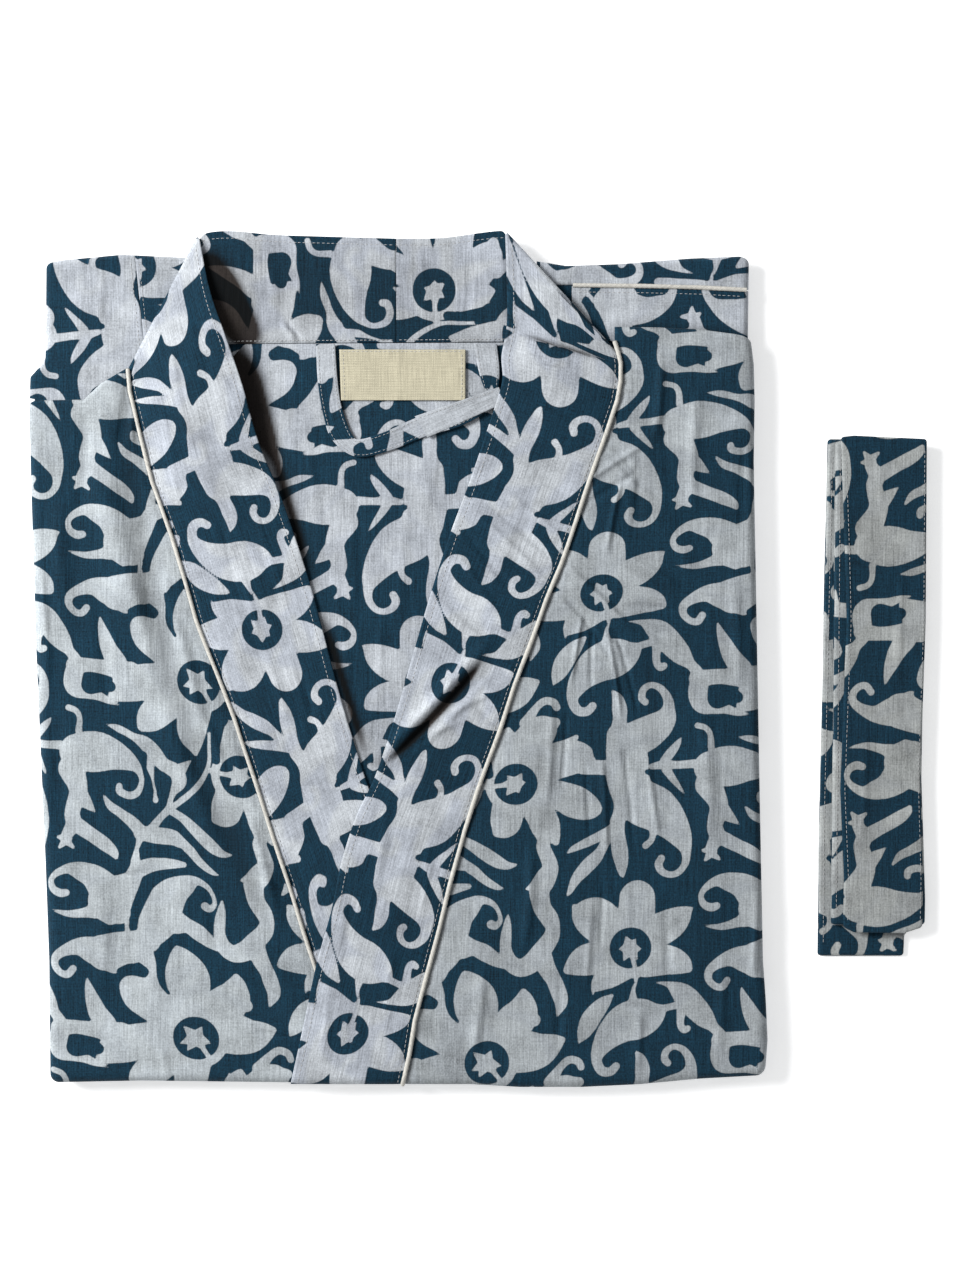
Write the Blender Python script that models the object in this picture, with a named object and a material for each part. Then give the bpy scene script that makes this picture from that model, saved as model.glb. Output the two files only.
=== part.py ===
# A cotton kimono robe, folded to a flat rectangle with its neck to the top, and its belt
# folded beside it. Both lie on a level surface at Z = 0.
# X runs to the right, Y towards the collar and Z up, with the origin under the middle.
import math

import bmesh
import bpy
import numpy as np

# Driving dimensions, in millimetres
MM = 0.001
GAP = 0.4                   # clear space between a piece and what it lies on
SEAM_GAP = 0.3              # clear space between two pieces that are sewn together
PANEL_WALL = 1.2            # fronts
THIN_WALL = 1.0             # back, sleeves, label and loop
BAND_WALL = 1.3             # doubled neck band
BUNDLE_HEIGHT = 12.0        # hidden folded layers under the fronts
BUNDLE_NECK_HEIGHT = 9.0    # the same under the collar and sleeves
RAMP_START = 100.0          # Y where the hidden layers begin to thin
RAMP_END = 190.0            # Y where they have thinned
FRONT_TOP = 15.0            # upper side of both fronts
SIDE_ROLL = (5.0, 4.6)      # reach and drop where a front turns down at a fold
TOP_ROLL = (3.0, 2.2)       # the same at the top folds
SLEEVE_ROLL = (3.0, 3.4)    # the same on the sleeves
PIPING_RADIUS = 1.35
PIPING_LIFT = 15.2          # height of the piping's middle
PIPING_SIDES = 8
PIPING_STEP = 9.0           # length of one piece of piping along its seam
FOLD_INSET = 1.8            # from the shoulder fold's outer edge to where the bend begins
BEND_STEPS = 4
BAND_COLUMNS = 8
LABEL_SIZE = (67.5, 27.5)
LABEL_CENTRE = (-41.7, 153.9)
BELT_HEIGHTS = (3.0, 7.3, 8.8)

NAVY = (0.035, 0.085, 0.15)
BLOSSOM = (0.62, 0.62, 0.65)
CREAM = (0.78, 0.74, 0.62)

# Outlines: (Y, X) down a side, (X, Y) along an end
LEFT_SIDE = [(-231, -232.3), (-163, -233), (-109, -235), (5, -240), (86, -242.5), (141, -244)]
RIGHT_SIDE = [(-226, 154.5), (-206, 156), (-184, 155), (-163, 153.5), (-87, 152), (107, 148.5),
              (140, 149), (160, 148.5), (176, 146.5)]
BOTTOM_END = [(-232, -229), (-183, -228), (-102, -229), (-43, -230), (-5, -230), (22, -231.5),
              (55, -231.5), (87, -230), (119, -227), (155, -225)]
LEFT_TOP = [(-244, 140), (-214, 140.5), (-204.5, 149.5), (-190, 158)]
RIGHT_TOP = [(71, 180), (98, 179.5), (119, 178.5), (138, 176), (147, 174)]
BACK_TOP = [(-238, 124), (-192, 126), (-150, 146), (-127, 170.8), (15, 171.6), (60, 170.5),
            (76, 166), (150, 165)]

# Seams where the piping lies: (Y, X)
LEFT_SEAM = [(-194, -80.5), (-169, -88), (-125, -102), (-82, -116), (-33, -132), (21, -153),
             (66, -166), (96, -177), (133, -186), (145, -189), (157, -190)]
RIGHT_SEAM = [(-230, -41.5), (-214, -38), (-195, -35), (-173, -29), (-146, -22), (-122, -16),
              (-92, -8), (-71, -1), (-57, 4), (-38, 11), (-14, 19), (10, 28), (32, 36), (51, 44),
              (110, 64), (124, 69), (140, 74.5), (150, 76.3), (160, 76.3), (166, 74.8), (172, 72.8)]
CUFF_SEAM = [(50, 202.6), (87, 202.2), (119, 201.4), (145.5, 200)]

# The neck band, a row for each station of the left half and of the right. Seam and free are
# its two long edges, Z is the middle of its wall, and arch lifts the middle of its width. In
# front, the seam edge keeps its place beside the piping.
#             seam X, seam Y, seam Z, free X, free Y, free Z, arch
LEFT_BACK = [(-45.5, 171.9, 10.9, -45.5, 227.5, 9.2, 0.9),
             (-80.5, 171.6, 10.9, -80.5, 228.5, 9.2, 0.9),
             (-113.0, 171.3, 11.1, -111.0, 229.5, 9.3, 1.0),
             (-146.0, 170.0, 12.1, -134.0, 231.5, 9.7, 1.2),
             (-177.0, 163.0, 12.4, -147.5, 230.5, 10.2, 0.9),
             (-188.0, 156.8, 12.5, -151.7, 227.3, 10.4, 0.8)]
LEFT_FRONT = [(-188.0, 156.8, 14.6, -151.7, 227.3, 12.6, 0.8),
              (-187.6, 151.5, 14.6, -145.8, 199.0, 17.0, 1.6),
              (-186.7, 145.0, 14.5, -137.0, 173.5, 20.5, 2.4),
              (-184.0, 131.0, 14.5, -128.5, 149.0, 21.5, 2.6),
              (-175.2, 97.5, 14.45, -119.3, 116.5, 19.0, 1.8),
              (-164.5, 66.0, 14.45, -107.0, 86.0, 16.4, 0.8),
              (-151.0, 21.0, 14.45, -91.5, 39.0, 14.8, 0.2),
              (-130.5, -33.5, 14.45, -77.3, -14.5, 14.5, 0.0),
              (-115.5, -79.0, 14.45, -65.3, -54.5, 14.45, 0.0),
              (-103.0, -115.0, 14.45, -58.0, -76.0, 14.45, 0.0),
              (-92.2, -149.0, 14.45, -54.5, -86.0, 14.45, 0.0),
              (-79.0, -193.0, 14.45, -51.5, -94.5, 14.45, 0.0)]
RIGHT_BACK = [(-44.8, 171.9, 10.9, -44.8, 227.5, 9.2, 0.9),
              (-21.0, 172.0, 10.9, -21.0, 227.8, 9.2, 0.9),
              (3.0, 172.2, 11.0, 0.0, 230.5, 9.3, 1.0),
              (26.0, 172.0, 11.9, 9.5, 231.5, 9.8, 1.2),
              (52.0, 171.0, 12.3, 13.0, 231.3, 10.1, 1.0),
              (70.2, 168.4, 12.4, 14.3, 229.3, 10.3, 0.9)]
RIGHT_FRONT = [(70.2, 168.4, 14.6, 14.3, 229.3, 12.5, 0.9),
               (73.5, 164.0, 14.6, 15.1, 204.5, 14.5, 1.0),
               (74.7, 158.0, 14.5, 15.2, 180.5, 16.0, 1.2),
               (74.3, 150.0, 14.5, 12.4, 163.5, 16.8, 0.9),
               (71.2, 134.5, 14.45, 12.8, 150.5, 16.2, 0.6),
               (65.2, 118.0, 14.45, 8.0, 134.0, 15.6, 0.4),
               (52.8, 80.5, 14.45, -4.3, 97.5, 14.9, 0.2),
               (42.0, 52.5, 14.45, -15.1, 68.5, 14.6, 0.1),
               (29.5, 22.5, 14.45, -25.4, 37.0, 14.6, 0.1),
               (17.2, -14.5, 14.45, -35.6, 2.0, 14.9, 0.3),
               (8.0, -43.5, 14.45, -45.4, -32.0, 15.9, 0.6),
               (-2.3, -73.5, 14.5, -55.6, -62.5, 16.8, 0.7),
               (-11.0, -103.0, 14.5, -65.9, -84.5, 16.9, 0.7),
               (-19.0, -133.0, 14.5, -74.0, -109.5, 16.9, 0.7),
               (-26.0, -157.0, 14.5, -79.4, -135.5, 17.3, 0.7),
               (-32.5, -183.0, 14.5, -87.5, -165.0, 17.7, 0.6),
               (-38.0, -203.0, 14.5, -95.0, -200.0, 17.6, 0.6),
               (-43.3, -230.0, 14.5, -101.5, -229.5, 17.2, 0.5)]

# The hanging loop, stitched into the neck seam at both ends: its two edges and its height
#             outer X, outer Y, inner X, inner Y, Z
LOOP_FRONT = [(-88.0, 170.6, -78.5, 170.6, 12.6),
              (-87.0, 150.0, -77.2, 152.0, 12.8),
              (-84.0, 132.0, -75.0, 137.0, 13.3),
              (-79.0, 118.5, -69.5, 122.0, 13.9),
              (-66.0, 109.8, -64.5, 118.6, 14.2),
              (-48.0, 113.4, -50.5, 122.8, 14.2),
              (-29.0, 121.0, -33.5, 130.4, 13.9),
              (-10.0, 126.6, -14.5, 135.8, 14.2),
              (8.2, 136.6, 5.0, 145.2, 14.5)]
LOOP_LEG = [(8.2, 136.6, 5.0, 145.2, 13.0),
            (9.4, 143.0, 2.4, 147.6, 13.0),
            (10.5, 156.0, -0.5, 158.0, 12.6),
            (9.0, 170.6, -2.5, 170.6, 12.1)]

# Large soft folds: (start X, start Y, end X, end Y, half width, height)
LEFT_FOLDS = [(-138, -40, -119, -120, 8.0, 1.4), (-202, 128, -196, 96, 5.5, 0.9),
              (-171, 18, -158, -40, 7.0, 0.8), (-226, -70, -205, -150, 12.0, 0.6),
              (-120, -150, -98, -195, 7.0, 0.7)]
RIGHT_FOLDS = [(62, 112, 101, 70, 5.0, 0.9), (88, 118, 112, 52, 5.0, 0.6),
               (52, 40, 92, 16, 4.5, 0.8), (60, 2, 108, 14, 5.0, 0.6),
               (118, -30, 128, -150, 10.0, 0.6), (20, -120, 48, -200, 9.0, 0.5)]
RIGHT_BAND_FOLDS = [(-52, -57, 5, 9, 4.5, 1.1), (-47, -66, 8, -3, 3.5, -0.5),
                    (26, 170, 68, 154, 5.0, 1.0), (22, 178, 70, 163, 3.5, -0.5)]
LEFT_BAND_FOLDS = [(-150, 128, -134, 80, 7.0, 0.7), (-140, 30, -110, -30, 8.0, 0.5)]

# Rounded layer edges round a folded stack: part of the height, and how far each side (left,
# bottom, right, top) stands in from the outline above it; negative stands out
ROBE_LAYERS = [(0.94, -0.6, -0.2, -0.5, 0.3), (0.80, -0.9, -0.5, -0.9, 0.1),
               (0.71, 0.9, 0.9, 0.7, 1.6), (0.63, -0.7, 0.2, -1.0, 0.2),
               (0.50, -0.9, -0.1, -1.2, -0.1), (0.42, 0.8, 1.3, 0.4, 1.4),
               (0.34, -0.3, -0.7, 0.5, -0.4), (0.20, -0.5, -1.0, 0.3, -0.7),
               (0.13, 1.1, 0.6, 1.5, 0.8), (0.08, 0.2, -0.2, 0.9, 0.1), (0.0, 1.2, 1.0, 1.6, 1.2)]
BELT_LAYERS = [(0.72, -0.5, -0.3, -0.4, 0.4), (0.52, 0.7, 0.9, 0.8, 1.3),
               (0.32, -0.2, -0.6, 0.2, -0.3), (0.0, 0.7, 0.6, 0.9, 0.8)]


def bundle_height(y):
    """Top of the hidden layers: level, then a straight ramp down towards the collar."""
    part = np.clip((y - RAMP_START) / (RAMP_END - RAMP_START), 0, 1)
    return BUNDLE_HEIGHT + (BUNDLE_NECK_HEIGHT - BUNDLE_HEIGHT) * part


def read(table, value, column=1):
    """A column of a table whose first column rises, between its rows."""
    rows = np.array(table)
    return np.interp(value, rows[:, 0], rows[:, column])


def relief(x, y, folds):
    """Sum of rounded ridges, each falling off as exp(-(distance / half width) squared)."""
    height = np.zeros_like(x)
    for x0, y0, x1, y1, half_width, rise in folds:
        dx, dy = x1 - x0, y1 - y0
        along = np.clip(((x - x0) * dx + (y - y0) * dy) / (dx * dx + dy * dy), 0, 1)
        distance = np.hypot(x - x0 - along * dx, y - y0 - along * dy)
        height += rise * np.exp(-((distance / half_width) ** 2))
    return height


def smooth_rows(table, step):
    """Rows on a Catmull-Rom curve through the table's rows, about a step apart."""
    rows = np.array(table, dtype=float)
    ends = np.vstack([2 * rows[0] - rows[1], rows, 2 * rows[-1] - rows[-2]])
    out = []
    for k in range(len(rows) - 1):
        a, b, c, d = ends[k:k + 4]
        middle = (b[:2] - c[:2] + b[3:5] - c[3:5]) / 2
        count = max(1, round(float(np.hypot(*middle)) / step))
        for t in np.arange(count) / count:
            out.append(0.5 * (2 * b + (c - a) * t + (2 * a - 5 * b + 4 * c - d) * t ** 2
                              + (3 * b - a - 3 * c + d) * t ** 3))
    out.append(rows[-1])
    return np.array(out)


def normals(grid):
    """Unit normals of a grid of points, from its two directions."""
    n = np.cross(np.gradient(grid, axis=1), np.gradient(grid, axis=0))
    return n / np.linalg.norm(n, axis=2, keepdims=True)


def material(name, colour, roughness):
    made = bpy.data.materials.new(name)
    made.use_nodes = True
    shader = made.node_tree.nodes["Principled BSDF"]
    shader.inputs["Base Color"].default_value = (*colour, 1)
    shader.inputs["Roughness"].default_value = roughness
    made.diffuse_color = (*colour, 1)
    return made


def make_object(name, points, faces, look):
    """A closed mesh from points in millimetres, with its faces turned outwards."""
    mesh = bpy.data.meshes.new(name)
    mesh.from_pydata((np.asarray(points) * MM).tolist(), [], faces)
    work = bmesh.new()
    work.from_mesh(mesh)
    bmesh.ops.recalc_face_normals(work, faces=work.faces)
    work.to_mesh(mesh)
    work.free()
    mesh.shade_smooth()
    mesh.set_sharp_from_angle(angle=math.radians(50))
    mesh.materials.append(look)
    made = bpy.data.objects.new(name, mesh)
    bpy.context.collection.objects.link(made)
    return made


def grid_faces(rows, cols, start):
    return [(start + i * cols + j, start + i * cols + j + 1,
             start + (i + 1) * cols + j + 1, start + (i + 1) * cols + j)
            for i in range(rows - 1) for j in range(cols - 1)]


def grid_rim(rows, cols):
    """Indices round the edge of a grid, in order."""
    rim = [j for j in range(cols)]
    rim += [i * cols + cols - 1 for i in range(1, rows)]
    rim += [(rows - 1) * cols + j for j in range(cols - 2, -1, -1)]
    rim += [i * cols for i in range(rows - 2, 0, -1)]
    return rim


def wall_object(name, outer, inner, look):
    """Two grids of points joined round their edges into one closed wall."""
    rows, cols = outer.shape[:2]
    count = rows * cols
    points = np.vstack([outer.reshape(-1, 3), inner.reshape(-1, 3)])
    faces = grid_faces(rows, cols, 0)
    faces += [tuple(reversed(face)) for face in grid_faces(rows, cols, count)]
    rim = grid_rim(rows, cols)
    for a, b in zip(rim, rim[1:] + rim[:1]):
        faces.append((b, a, a + count, b + count))
    return make_object(name, points, faces, look)


def closer(count, share, top_count):
    """Parts of a width, even up to a share of it and closer together after that."""
    return np.concatenate([np.linspace(0, share, count)[:-1], np.linspace(share, 1, top_count)])


def stations(low_roll, high_roll, inner_steps, roll_steps=3):
    """Positions across a panel: (end, how far round its roll, part of the level width)."""
    out = []
    if low_roll:
        turn = np.cos(np.linspace(0, math.pi / 2, roll_steps + 1))[:-1]
        out += [(-1, q, 0.0) for q in turn]
    if np.isscalar(inner_steps):
        inner_steps = np.linspace(0, 1, inner_steps + 1)
    out += [(0, 0.0, f) for f in inner_steps]
    if high_roll:
        turn = np.cos(np.linspace(0, math.pi / 2, roll_steps + 1))[:-1]
        out += [(1, q, 1.0) for q in turn[::-1]]
    return np.array(out)


def place(station, turned, low, high, low_reach, high_reach):
    """Distance across for a station, between the two edges of the panel there."""
    end, level = station[..., 0], station[..., 2]
    inside = low + low_reach + level * (high - high_reach - low - low_reach)
    inside = np.where(end < 0, low + low_reach * (1 - turned), inside)
    return np.where(end > 0, high - high_reach * (1 - turned), inside)


def panel_grid(sides, ends, rolls, steps, height):
    """Upper side of a laid panel. It is level inside, and turns down over a quarter ellipse
    at each rolled edge; where two rolls meet the corner is rounded like part of a ball.
    sides = left and right (Y, X) tables, ends = bottom and top (X, Y) tables, rolls =
    (reach, drop) for left, right, bottom and top, or None."""
    left_roll, right_roll, bottom_roll, top_roll = rolls
    reach = [roll[0] if roll else 0.0 for roll in rolls]
    across = stations(left_roll, right_roll, steps[0])[None, :, :]
    up = stations(bottom_roll, top_roll, steps[1])[:, None, :]
    qx, qy = across[..., 1] + 0 * up[..., 1], up[..., 1] + 0 * across[..., 1]
    turn_x = qx * np.sqrt(1 - qy ** 2 / 2)
    turn_y = qy * np.sqrt(1 - qx ** 2 / 2)
    low_y = min(y for x, y in ends[0])
    high_y = max(y for x, y in ends[1])
    y = place(up, turn_y, low_y, high_y, reach[2], reach[3])
    for _ in range(3):
        x = place(across, turn_x, read(sides[0], y), read(sides[1], y), reach[0], reach[1])
        y = place(up, turn_y, read(ends[0], x), read(ends[1], x), reach[2], reach[3])
    drops = [roll[1] if roll else 0.0 for roll in rolls]
    drop_x = np.where(across[..., 0] < 0, drops[0], drops[1])
    drop_y = np.where(up[..., 0] < 0, drops[2], drops[3])
    turned = turn_x ** 2 + turn_y ** 2
    drop = (drop_x * turn_x ** 2 + drop_y * turn_y ** 2) / np.maximum(turned, 1e-9)
    z = height(x, y) - drop * (1 - np.sqrt(np.clip(1 - turned, 0, 1)))
    return np.stack([x, y, z], axis=2)


def panel(name, sides, ends, rolls, steps, height, wall, look):
    outer = panel_grid(sides, ends, rolls, steps, height)
    return wall_object(name, outer, outer - normals(outer) * wall, look)


def stack(name, sides, ends, roll, steps, height, floor, layers, look):
    """Folded layers as one solid: a top that rolls down all round, then rounded layer edges
    that stand in or out unevenly, and a level underside."""
    top = panel_grid(sides, ends, (roll,) * 4, steps, height)
    rows, cols = top.shape[:2]
    rim = grid_rim(rows, cols)
    edge = top.reshape(-1, 3)[rim]
    ahead = np.roll(edge, -1, axis=0) - np.roll(edge, 1, axis=0)
    out = np.stack([ahead[:, 1], -ahead[:, 0]], axis=1)
    out /= np.linalg.norm(out, axis=1, keepdims=True)
    points = [top.reshape(-1, 3)]
    faces = grid_faces(rows, cols, 0)
    last = rim
    start = rows * cols
    for part, left, bottom, right, top_in in layers:
        facing = np.clip(np.stack([-out[:, 0], -out[:, 1], out[:, 0], out[:, 1]]), 0, 1) ** 2
        inset = np.array([left, bottom, right, top_in]) @ facing
        ring = np.empty_like(edge)
        ring[:, :2] = edge[:, :2] - out * inset[:, None]
        ring[:, 2] = floor + (edge[:, 2] - floor) * part
        points.append(ring)
        now = list(range(start, start + len(rim)))
        for k in range(len(rim)):
            n = (k + 1) % len(rim)
            faces.append((last[n], last[k], now[k], now[n]))
        last = now
        start += len(rim)
    faces.append(tuple(last))
    return make_object(name, np.vstack(points), faces, look)


def band_grid(rows, cols, folds):
    """Middle surface of a run of band: straight across from seam to free edge, lifted by its
    arch as 4 w (1 - w), and by the folds that cross it."""
    w = np.linspace(0, 1, cols)[None, :]
    seam, free, arch = rows[:, None, 0:3], rows[:, None, 3:6], rows[:, 6:7]
    grid = seam * (1 - w[..., None]) + free * w[..., None]
    grid[..., 2] += arch * 4 * w * (1 - w) + relief(grid[..., 0], grid[..., 1], folds)
    return grid


def bend(low, high, side):
    """Half turn that joins two rows lying one above the other, standing out to one side."""
    middle, radius = (low + high) / 2, (high[:, 2:] - low[:, 2:]) / 2
    along = low[-1, :2] - low[0, :2]
    out = side * np.array([-along[1], along[0], 0]) / np.hypot(*along)
    rows = []
    for k in range(1, BEND_STEPS):
        angle = -math.pi / 2 + math.pi * k / BEND_STEPS
        rows.append(middle + out * radius * math.cos(angle)
                    + np.array([0, 0, 1]) * radius * math.sin(angle))
    return np.array(rows)


def ribbon(name, first, second, side, wall, look):
    """A band that runs one way, turns over at a fold and comes back above itself."""
    turn = bend(first[-1], second[0], side)
    middle = np.concatenate([first, turn, second])
    half = normals(middle) * wall / 2
    return wall_object(name, middle + half, middle - half, look)


def beside(rows, seam, room):
    """Rows of a run of band with the seam edge set beside its piping, all but the first."""
    rows[1:, 0] = read(seam, rows[1:, 1]) + room
    return rows


def roll_end(grid, reach, drop):
    """Ends a run at a bottom fold: the last rows close up and turn down a quarter ellipse."""
    last, before = grid[-1], grid[-2]
    along = last - before
    along[:, 2] = 0
    along /= np.linalg.norm(along, axis=1, keepdims=True)
    rows = []
    for q in np.sin(np.linspace(0, math.pi / 2, 5)):
        row = last - along * reach * (1 - q)
        row[:, 2] -= drop * (1 - math.sqrt(1 - q * q))
        rows.append(row)
    kept = [row for row in grid[:-1] if row[:, 1].min() > last[:, 1].max() + reach + 1]
    return np.concatenate([np.array(kept), np.array(rows)])


def tube(name, centre, radius, sides, look):
    """A round cord along a line of points, closed at both ends."""
    ahead = np.gradient(centre, axis=0)
    ahead /= np.linalg.norm(ahead, axis=1, keepdims=True)
    across = np.cross(ahead, [0, 0, 1])
    across /= np.linalg.norm(across, axis=1, keepdims=True)
    up = np.cross(across, ahead)
    angle = np.linspace(0, 2 * math.pi, sides, endpoint=False)
    ring = (across[:, None] * np.cos(angle)[None, :, None]
            + up[:, None] * np.sin(angle)[None, :, None])
    points = (centre[:, None] + radius * ring).reshape(-1, 3)
    faces = []
    for i in range(len(centre) - 1):
        for j in range(sides):
            a, b = i * sides + j, i * sides + (j + 1) % sides
            faces.append((a, b, b + sides, a + sides))
    faces.append(tuple(range(sides)))
    faces.append(tuple(len(points) - 1 - k for k in range(sides)))
    return make_object(name, points, faces, look)


def seam_line(table, step, lift, roll=None):
    """Points along a seam table of (Y, X) rows, down the picture, turned down at its end over
    a quarter ellipse where the cloth beside it does."""
    reach, drop = roll or (0.0, 0.0)
    end = table[0][0]
    y = np.linspace(table[-1][0], end + reach, max(2, round((table[-1][0] - end) / step)) + 1)
    z = np.full_like(y, lift)
    if roll:
        turn = np.linspace(0, math.pi / 2, 5)[1:]
        y = np.concatenate([y, end + reach * (1 - np.sin(turn))])
        z = np.concatenate([z, lift - drop * (1 - np.cos(turn))])
    return np.stack([read(table, y), y, z], axis=1)


def shifted(table, dx):
    return [(a, b + dx) for a, b in table]


def flat_edge(value):
    return [(-300, value), (300, value)]


# Start from an empty scene
for thing in list(bpy.data.objects):
    bpy.data.objects.remove(thing)

print_cloth = material("printed_cotton", NAVY, 0.85)
under_cloth = material("printed_cotton_under", BLOSSOM, 0.88)
cream_cloth = material("cream_cotton", CREAM, 0.8)
label_cloth = material("woven_label", CREAM, 0.75)

# Hidden layers of the folded robe: body, skirt and sleeves, as one rounded solid
bundle_left = [(-228, -230), (-163, -231), (-109, -233), (5, -238), (86, -240.4), (138, -241.8),
               (150, -239.5), (156, -234), (160, -232), (166, -231.4), (214, -231)]
bundle_right = [(-224, 152), (-206, 153.8), (-184, 152.8), (-163, 151.4), (-87, 149.8),
                (107, 146.4), (140, 146.8), (160, 145.4), (170, 143.4), (216, 143.2)]
bundle_bottom = [(x, y + 2.2) for x, y in BOTTOM_END]
bundle_top = [(-234, 212.5), (-226, 214), (-194, 216.5), (-150, 215), (31, 213.5), (47, 211),
              (76, 212), (114, 214.5), (141, 216), (146, 215)]
stack("folded_layers", (bundle_left, bundle_right), (bundle_bottom, bundle_top), (5.0, 3.6),
      (7, 9), lambda x, y: bundle_height(y), 0.0, ROBE_LAYERS, under_cloth)

# Back panel, seen through the neck
panel("back_panel", (shifted(LEFT_SIDE, 6.2), shifted(RIGHT_SIDE, -6.2)),
      ([(x, y + 6.2) for x, y in BOTTOM_END], BACK_TOP), (None,) * 4, (7, 12),
      lambda x, y: bundle_height(y) + GAP + THIN_WALL, THIN_WALL, print_cloth)

# Fronts, from their outer folds to the piping
edge_room = PIPING_RADIUS + SEAM_GAP + 0.3
under_band = [(-231, -87.5), (-205, -84.5), (-197, -82.6)]
left_inner = under_band + [row for row in shifted(LEFT_SEAM, -edge_room) if row[0] > -196]
right_inner = shifted(RIGHT_SEAM, edge_room)
panel("front_left", (LEFT_SIDE, left_inner), (BOTTOM_END, LEFT_TOP),
      (SIDE_ROLL, None, SIDE_ROLL, TOP_ROLL), (8, closer(13, 0.78, 7)),
      lambda x, y: FRONT_TOP + relief(x, y, LEFT_FOLDS), PANEL_WALL, print_cloth)
panel("front_right", (right_inner, RIGHT_SIDE), (BOTTOM_END, RIGHT_TOP),
      (None, SIDE_ROLL, SIDE_ROLL, TOP_ROLL), (9, closer(13, 0.8, 9)),
      lambda x, y: FRONT_TOP + relief(x, y, RIGHT_FOLDS), PANEL_WALL, print_cloth)

# Neck band, sewn at the middle of the back, folded over at each shoulder
left_back = band_grid(smooth_rows(LEFT_BACK, 20), BAND_COLUMNS, [])
left_rows = beside(smooth_rows(LEFT_FRONT, 13), LEFT_SEAM, edge_room)
left_front = band_grid(left_rows, BAND_COLUMNS, LEFT_BAND_FOLDS)
ribbon("band_left", left_back, left_front, 1, BAND_WALL, print_cloth)
right_back = band_grid(smooth_rows(RIGHT_BACK, 20), BAND_COLUMNS, [])
right_rows = beside(smooth_rows(RIGHT_FRONT, 12), RIGHT_SEAM, -edge_room)
right_front = band_grid(right_rows, BAND_COLUMNS, RIGHT_BAND_FOLDS)
right_front = roll_end(right_front, *SIDE_ROLL)
ribbon("band_right", right_back, right_front, -1, BAND_WALL, print_cloth)

# Piping between band and fronts, and at the cuff
left_cord = seam_line(LEFT_SEAM, PIPING_STEP, PIPING_LIFT)
tube("piping_left", left_cord, PIPING_RADIUS, PIPING_SIDES, cream_cloth)
right_cord = seam_line(RIGHT_SEAM, PIPING_STEP, PIPING_LIFT, SIDE_ROLL)
tube("piping_right", right_cord, PIPING_RADIUS, PIPING_SIDES, cream_cloth)

# Sleeves, folded behind, seen above the fronts on each side of the collar
sleeve_height = lambda x, y: bundle_height(y) + GAP + THIN_WALL
sleeve_top = [(-235, 214.8), (-226, 216.6), (-194, 219.6), (-161, 218), (-148, 217)]
sleeve_side = [(136, -244), (153, -243.5), (158, -239), (163, -235.4), (215, -235)]
sleeve_foot = [(-244, 141.4), (-239, 140.4), (-236, 136.5), (-170, 136.5)]
shoulder_seam = [(130, -177.4), (220, -187)]
panel("sleeve_left", (sleeve_side, shoulder_seam), (sleeve_foot, sleeve_top),
      (SLEEVE_ROLL, None, None, SLEEVE_ROLL), (5, 8), sleeve_height, THIN_WALL, print_cloth)
panel("shoulder_left", (shifted(shoulder_seam, SEAM_GAP), flat_edge(-152)),
      (flat_edge(156), sleeve_top), (None, None, None, SLEEVE_ROLL), (3, 5), sleeve_height,
      THIN_WALL, print_cloth)
cuff_top = [(31, 216), (47, 213.5), (76, 214.5), (114, 217.5), (141, 218.6), (147, 217)]
cuff_room = PIPING_RADIUS + SEAM_GAP
cuff_side = [(168, 145.5), (220, 146.2)]
panel("cuff_right", (flat_edge(31), cuff_side), ([(a, b + cuff_room) for a, b in CUFF_SEAM],
      cuff_top), (None, SLEEVE_ROLL, None, SLEEVE_ROLL), (6, 2), sleeve_height, THIN_WALL,
      print_cloth)
panel("sleeve_right", (flat_edge(50), cuff_side), ([(50, 172.4), (72, 172.4), (80, 168),
      (150, 168)], [(a, b - cuff_room) for a, b in CUFF_SEAM]), (None, SLEEVE_ROLL, None, None),
      (6, 4), sleeve_height, THIN_WALL, print_cloth)
cuff_x = np.linspace(50.5, 144.5, 11)
cuff_y = read(CUFF_SEAM, cuff_x)
cuff_cord = np.stack([cuff_x, cuff_y, bundle_height(cuff_y) + GAP + PIPING_RADIUS], axis=1)
tube("piping_cuff", cuff_cord, PIPING_RADIUS, PIPING_SIDES, cream_cloth)

# Hanging loop of the same cloth, folded back on itself at its right corner
loop_rows = [np.array(t)[:, [0, 1, 4, 2, 3, 4, 4]] * [1, 1, 1, 1, 1, 1, 0]
             for t in (LOOP_FRONT, LOOP_LEG)]
loop_front = band_grid(smooth_rows(loop_rows[0], 6), 3, [])
loop_leg = band_grid(smooth_rows(loop_rows[1], 7), 3, [])
ribbon("hanging_loop", loop_leg[::-1], loop_front[::-1], -1, THIN_WALL, print_cloth)

# Woven label on the back, below the neck seam
half_w, half_l = LABEL_SIZE[0] / 2, LABEL_SIZE[1] / 2
cx, cy = LABEL_CENTRE
panel("label", ([(cy - half_l, cx - half_w + 1), (cy + half_l, cx - half_w)],
      [(cy - half_l, cx + half_w), (cy + half_l, cx + half_w)]),
      (flat_edge(cy - half_l), flat_edge(cy + half_l)), (None,) * 4, (6, 3),
      lambda x, y: bundle_height(y) + 2 * (GAP + THIN_WALL), THIN_WALL, label_cloth)

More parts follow.
